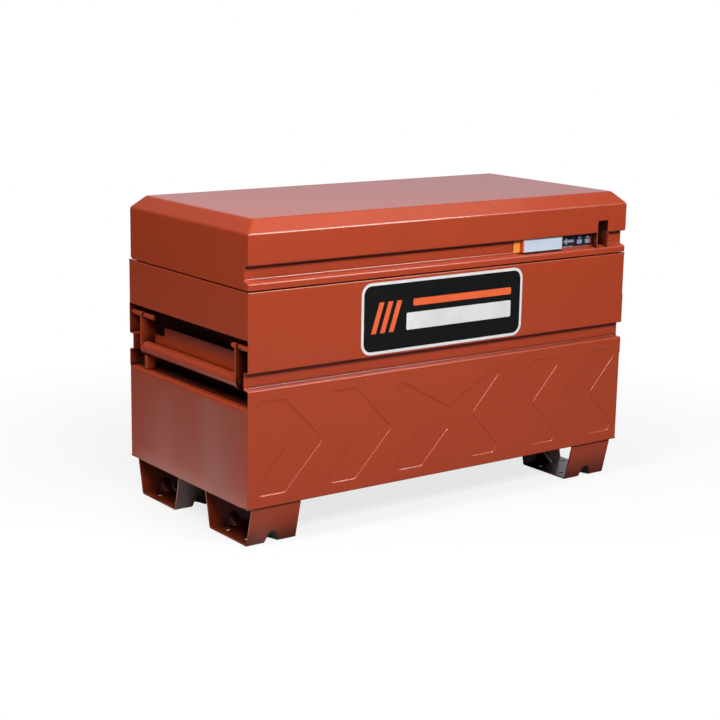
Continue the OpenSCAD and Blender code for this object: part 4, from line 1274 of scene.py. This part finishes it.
class BOX_OT_lid(PieceOperator, bpy.types.Operator):
    """Makes the lid's skin, flange and slot cheeks, and dresses its stiffeners"""
    bl_idname = "storage_box.lid"
    bl_label = "Lid"

    def build(self, context):
        own(build_lid("lid_skin"), "lid", "body_paint", "body_powder_coat",
            "lid_shell", "lid_left_end", "lid_right_end")
        own(build_lid_flange("lid_flange"), "lid", "body_paint", "body_powder_coat")
        own(build_cheeks("slot_cheeks"), "lid", "body_paint", "cheek_powder_coat")
        dress("inner_powder_coat", 0.6, "lid_left_stiffener", "lid_right_stiffener", "lid_centre_stiffener")
        # The padlock housing takes painted shade, a near-black copy of the paint
        dress("pocket_powder_coat", 0.6, "padlock_housing")


class BOX_OT_seal(PieceOperator, bpy.types.Operator):
    """Makes the rubber seal around the mouth"""
    bl_idname = "storage_box.seal"
    bl_label = "Mouth seal"

    def build(self, context):
        own(build_seal("bulb_seal"), "case", "seal_rubber", "seal_rubber", "mouth_seal")


class BOX_OT_decal(PieceOperator, bpy.types.Operator):
    """Makes the front decal and the lock label"""
    bl_idname = "storage_box.decal"
    bl_label = "Decal and label"

    def build(self, context):
        proud = 0.02
        decal = build_film("front_decal_film", decal_parts(), FRONT_Y - proud)
        own(decal, "case", "decal_film", "white_film black_film band_film", "front_decal")
        label = build_film("lock_label_film", label_parts(), corners("lock_label")[1].y - proud)
        own(label, "lid", "decal_film", "navy_film grey_film", "lock_label")
        dress("marker_film", 0.3, "lock_marker")


class BOX_OT_lock(PieceOperator, bpy.types.Operator):
    """Dresses the sliding lock, its keepers, guides and staple"""
    bl_idname = "storage_box.lock"
    bl_label = "Sliding lock"

    def build(self, context):
        dress("dull_zinc_plate", 0.5, "lock_keepers", "lock_guides", "lock_bar", "padlock_staple",
              "slide_studs")
        dress("bright_zinc_plate", 0.6, "slide_plate")
        dress("stop_enamel", 0.8, "lock_stop")


class BOX_OT_hinge(PieceOperator, bpy.types.Operator):
    """Dresses the full-length hinge and its rivets"""
    bl_idname = "storage_box.hinge"
    bl_label = "Hinge"

    def build(self, context):
        dress("dull_zinc_plate", 0.3, "hinge_case_leaf", "hinge_lid_leaf")
        dress("zinc_plate", 0.3, "hinge_pin")
        dress("zinc_plate", 0.35, "hinge_case_rivets", "hinge_lid_rivets")


class BOX_OT_handles(PieceOperator, bpy.types.Operator):
    """Makes the drop handles and their pins, and dresses their stops"""
    bl_idname = "storage_box.handles"
    bl_label = "Drop handles"

    def build(self, context):
        for word in ("left", "right"):
            handle = word + "_handle"
            for part, make, coat in (("_arms", build_arms, "arm_powder_coat"),
                                     ("_web", build_web, "web_powder_coat"),
                                     ("_grip", build_grip, "handle_powder_coat")):
                node = handle + part
                own(make(node + "_steel", node), handle, "body_paint", coat, node)
            node = handle + "_pins"
            own(build_pins(node + "_steel", node), "case", "body_paint", "handle_powder_coat", node)
            dress("handle_powder_coat", 0.9, handle + "_stop")


class BOX_OT_struts(PieceOperator, bpy.types.Operator):
    """Dresses the gas struts and their brackets"""
    bl_idname = "storage_box.struts"
    bl_label = "Gas struts"

    def build(self, context):
        for word in ("left", "right"):
            dress("cylinder_enamel", 0.5, word + "_strut_cylinder")
            dress("rod_chrome", 0.4, word + "_strut_rod")
            dress("dull_zinc_plate", 0.5, word + "_strut_bracket", "lid_" + word + "_strut_bracket")
        dress("zinc_plate", 0.4, "lid_bracket_screws")


PIECES = (
    BOX_OT_camera, BOX_OT_stage, BOX_OT_panels, BOX_OT_ends, BOX_OT_feet, BOX_OT_lid, BOX_OT_seal,
    BOX_OT_decal, BOX_OT_lock, BOX_OT_hinge, BOX_OT_handles, BOX_OT_struts,
)


class BOX_PT_pieces(bpy.types.Panel):
    """Lists the box's sizes, colours and pieces"""
    bl_idname = "BOX_PT_pieces"
    bl_label = "Storage box"
    bl_space_type = "VIEW_3D"
    bl_region_type = "UI"
    bl_category = "Storage Box"

    def draw(self, context):
        for group in (context.scene.storage_box_sizes, context.scene.storage_box_colours):
            column = self.layout.column(align=True)
            for name in type(group).__annotations__:
                column.prop(group, name)
        column = self.layout.column(align=True)
        for piece in PIECES:
            column.operator(piece.bl_idname)


CLASSES = (BoxSizes, BoxColours, *PIECES, BOX_PT_pieces)


def register():
    for kind in CLASSES:
        bpy.utils.register_class(kind)
    bpy.types.Scene.storage_box_sizes = PointerProperty(type=BoxSizes)
    bpy.types.Scene.storage_box_colours = PointerProperty(type=BoxColours)


def unregister():
    del bpy.types.Scene.storage_box_colours
    del bpy.types.Scene.storage_box_sizes
    for kind in reversed(CLASSES):
        bpy.utils.unregister_class(kind)


def main():
    """Makes every piece and writes the sizes before and after."""
    register()
    for piece in PIECES:
        group, name = piece.bl_idname.split(".")
        getattr(getattr(bpy.ops, group), name)()
    sizes_now = {
        "cad": [list(packed_bounds[0]), list(packed_bounds[1])],
        "visual": [list(corner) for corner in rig.bounds()],
    }
    with open("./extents.json", "w") as file:
        json.dump(sizes_now, file, indent=1)


if __name__ == "__main__":
    main()
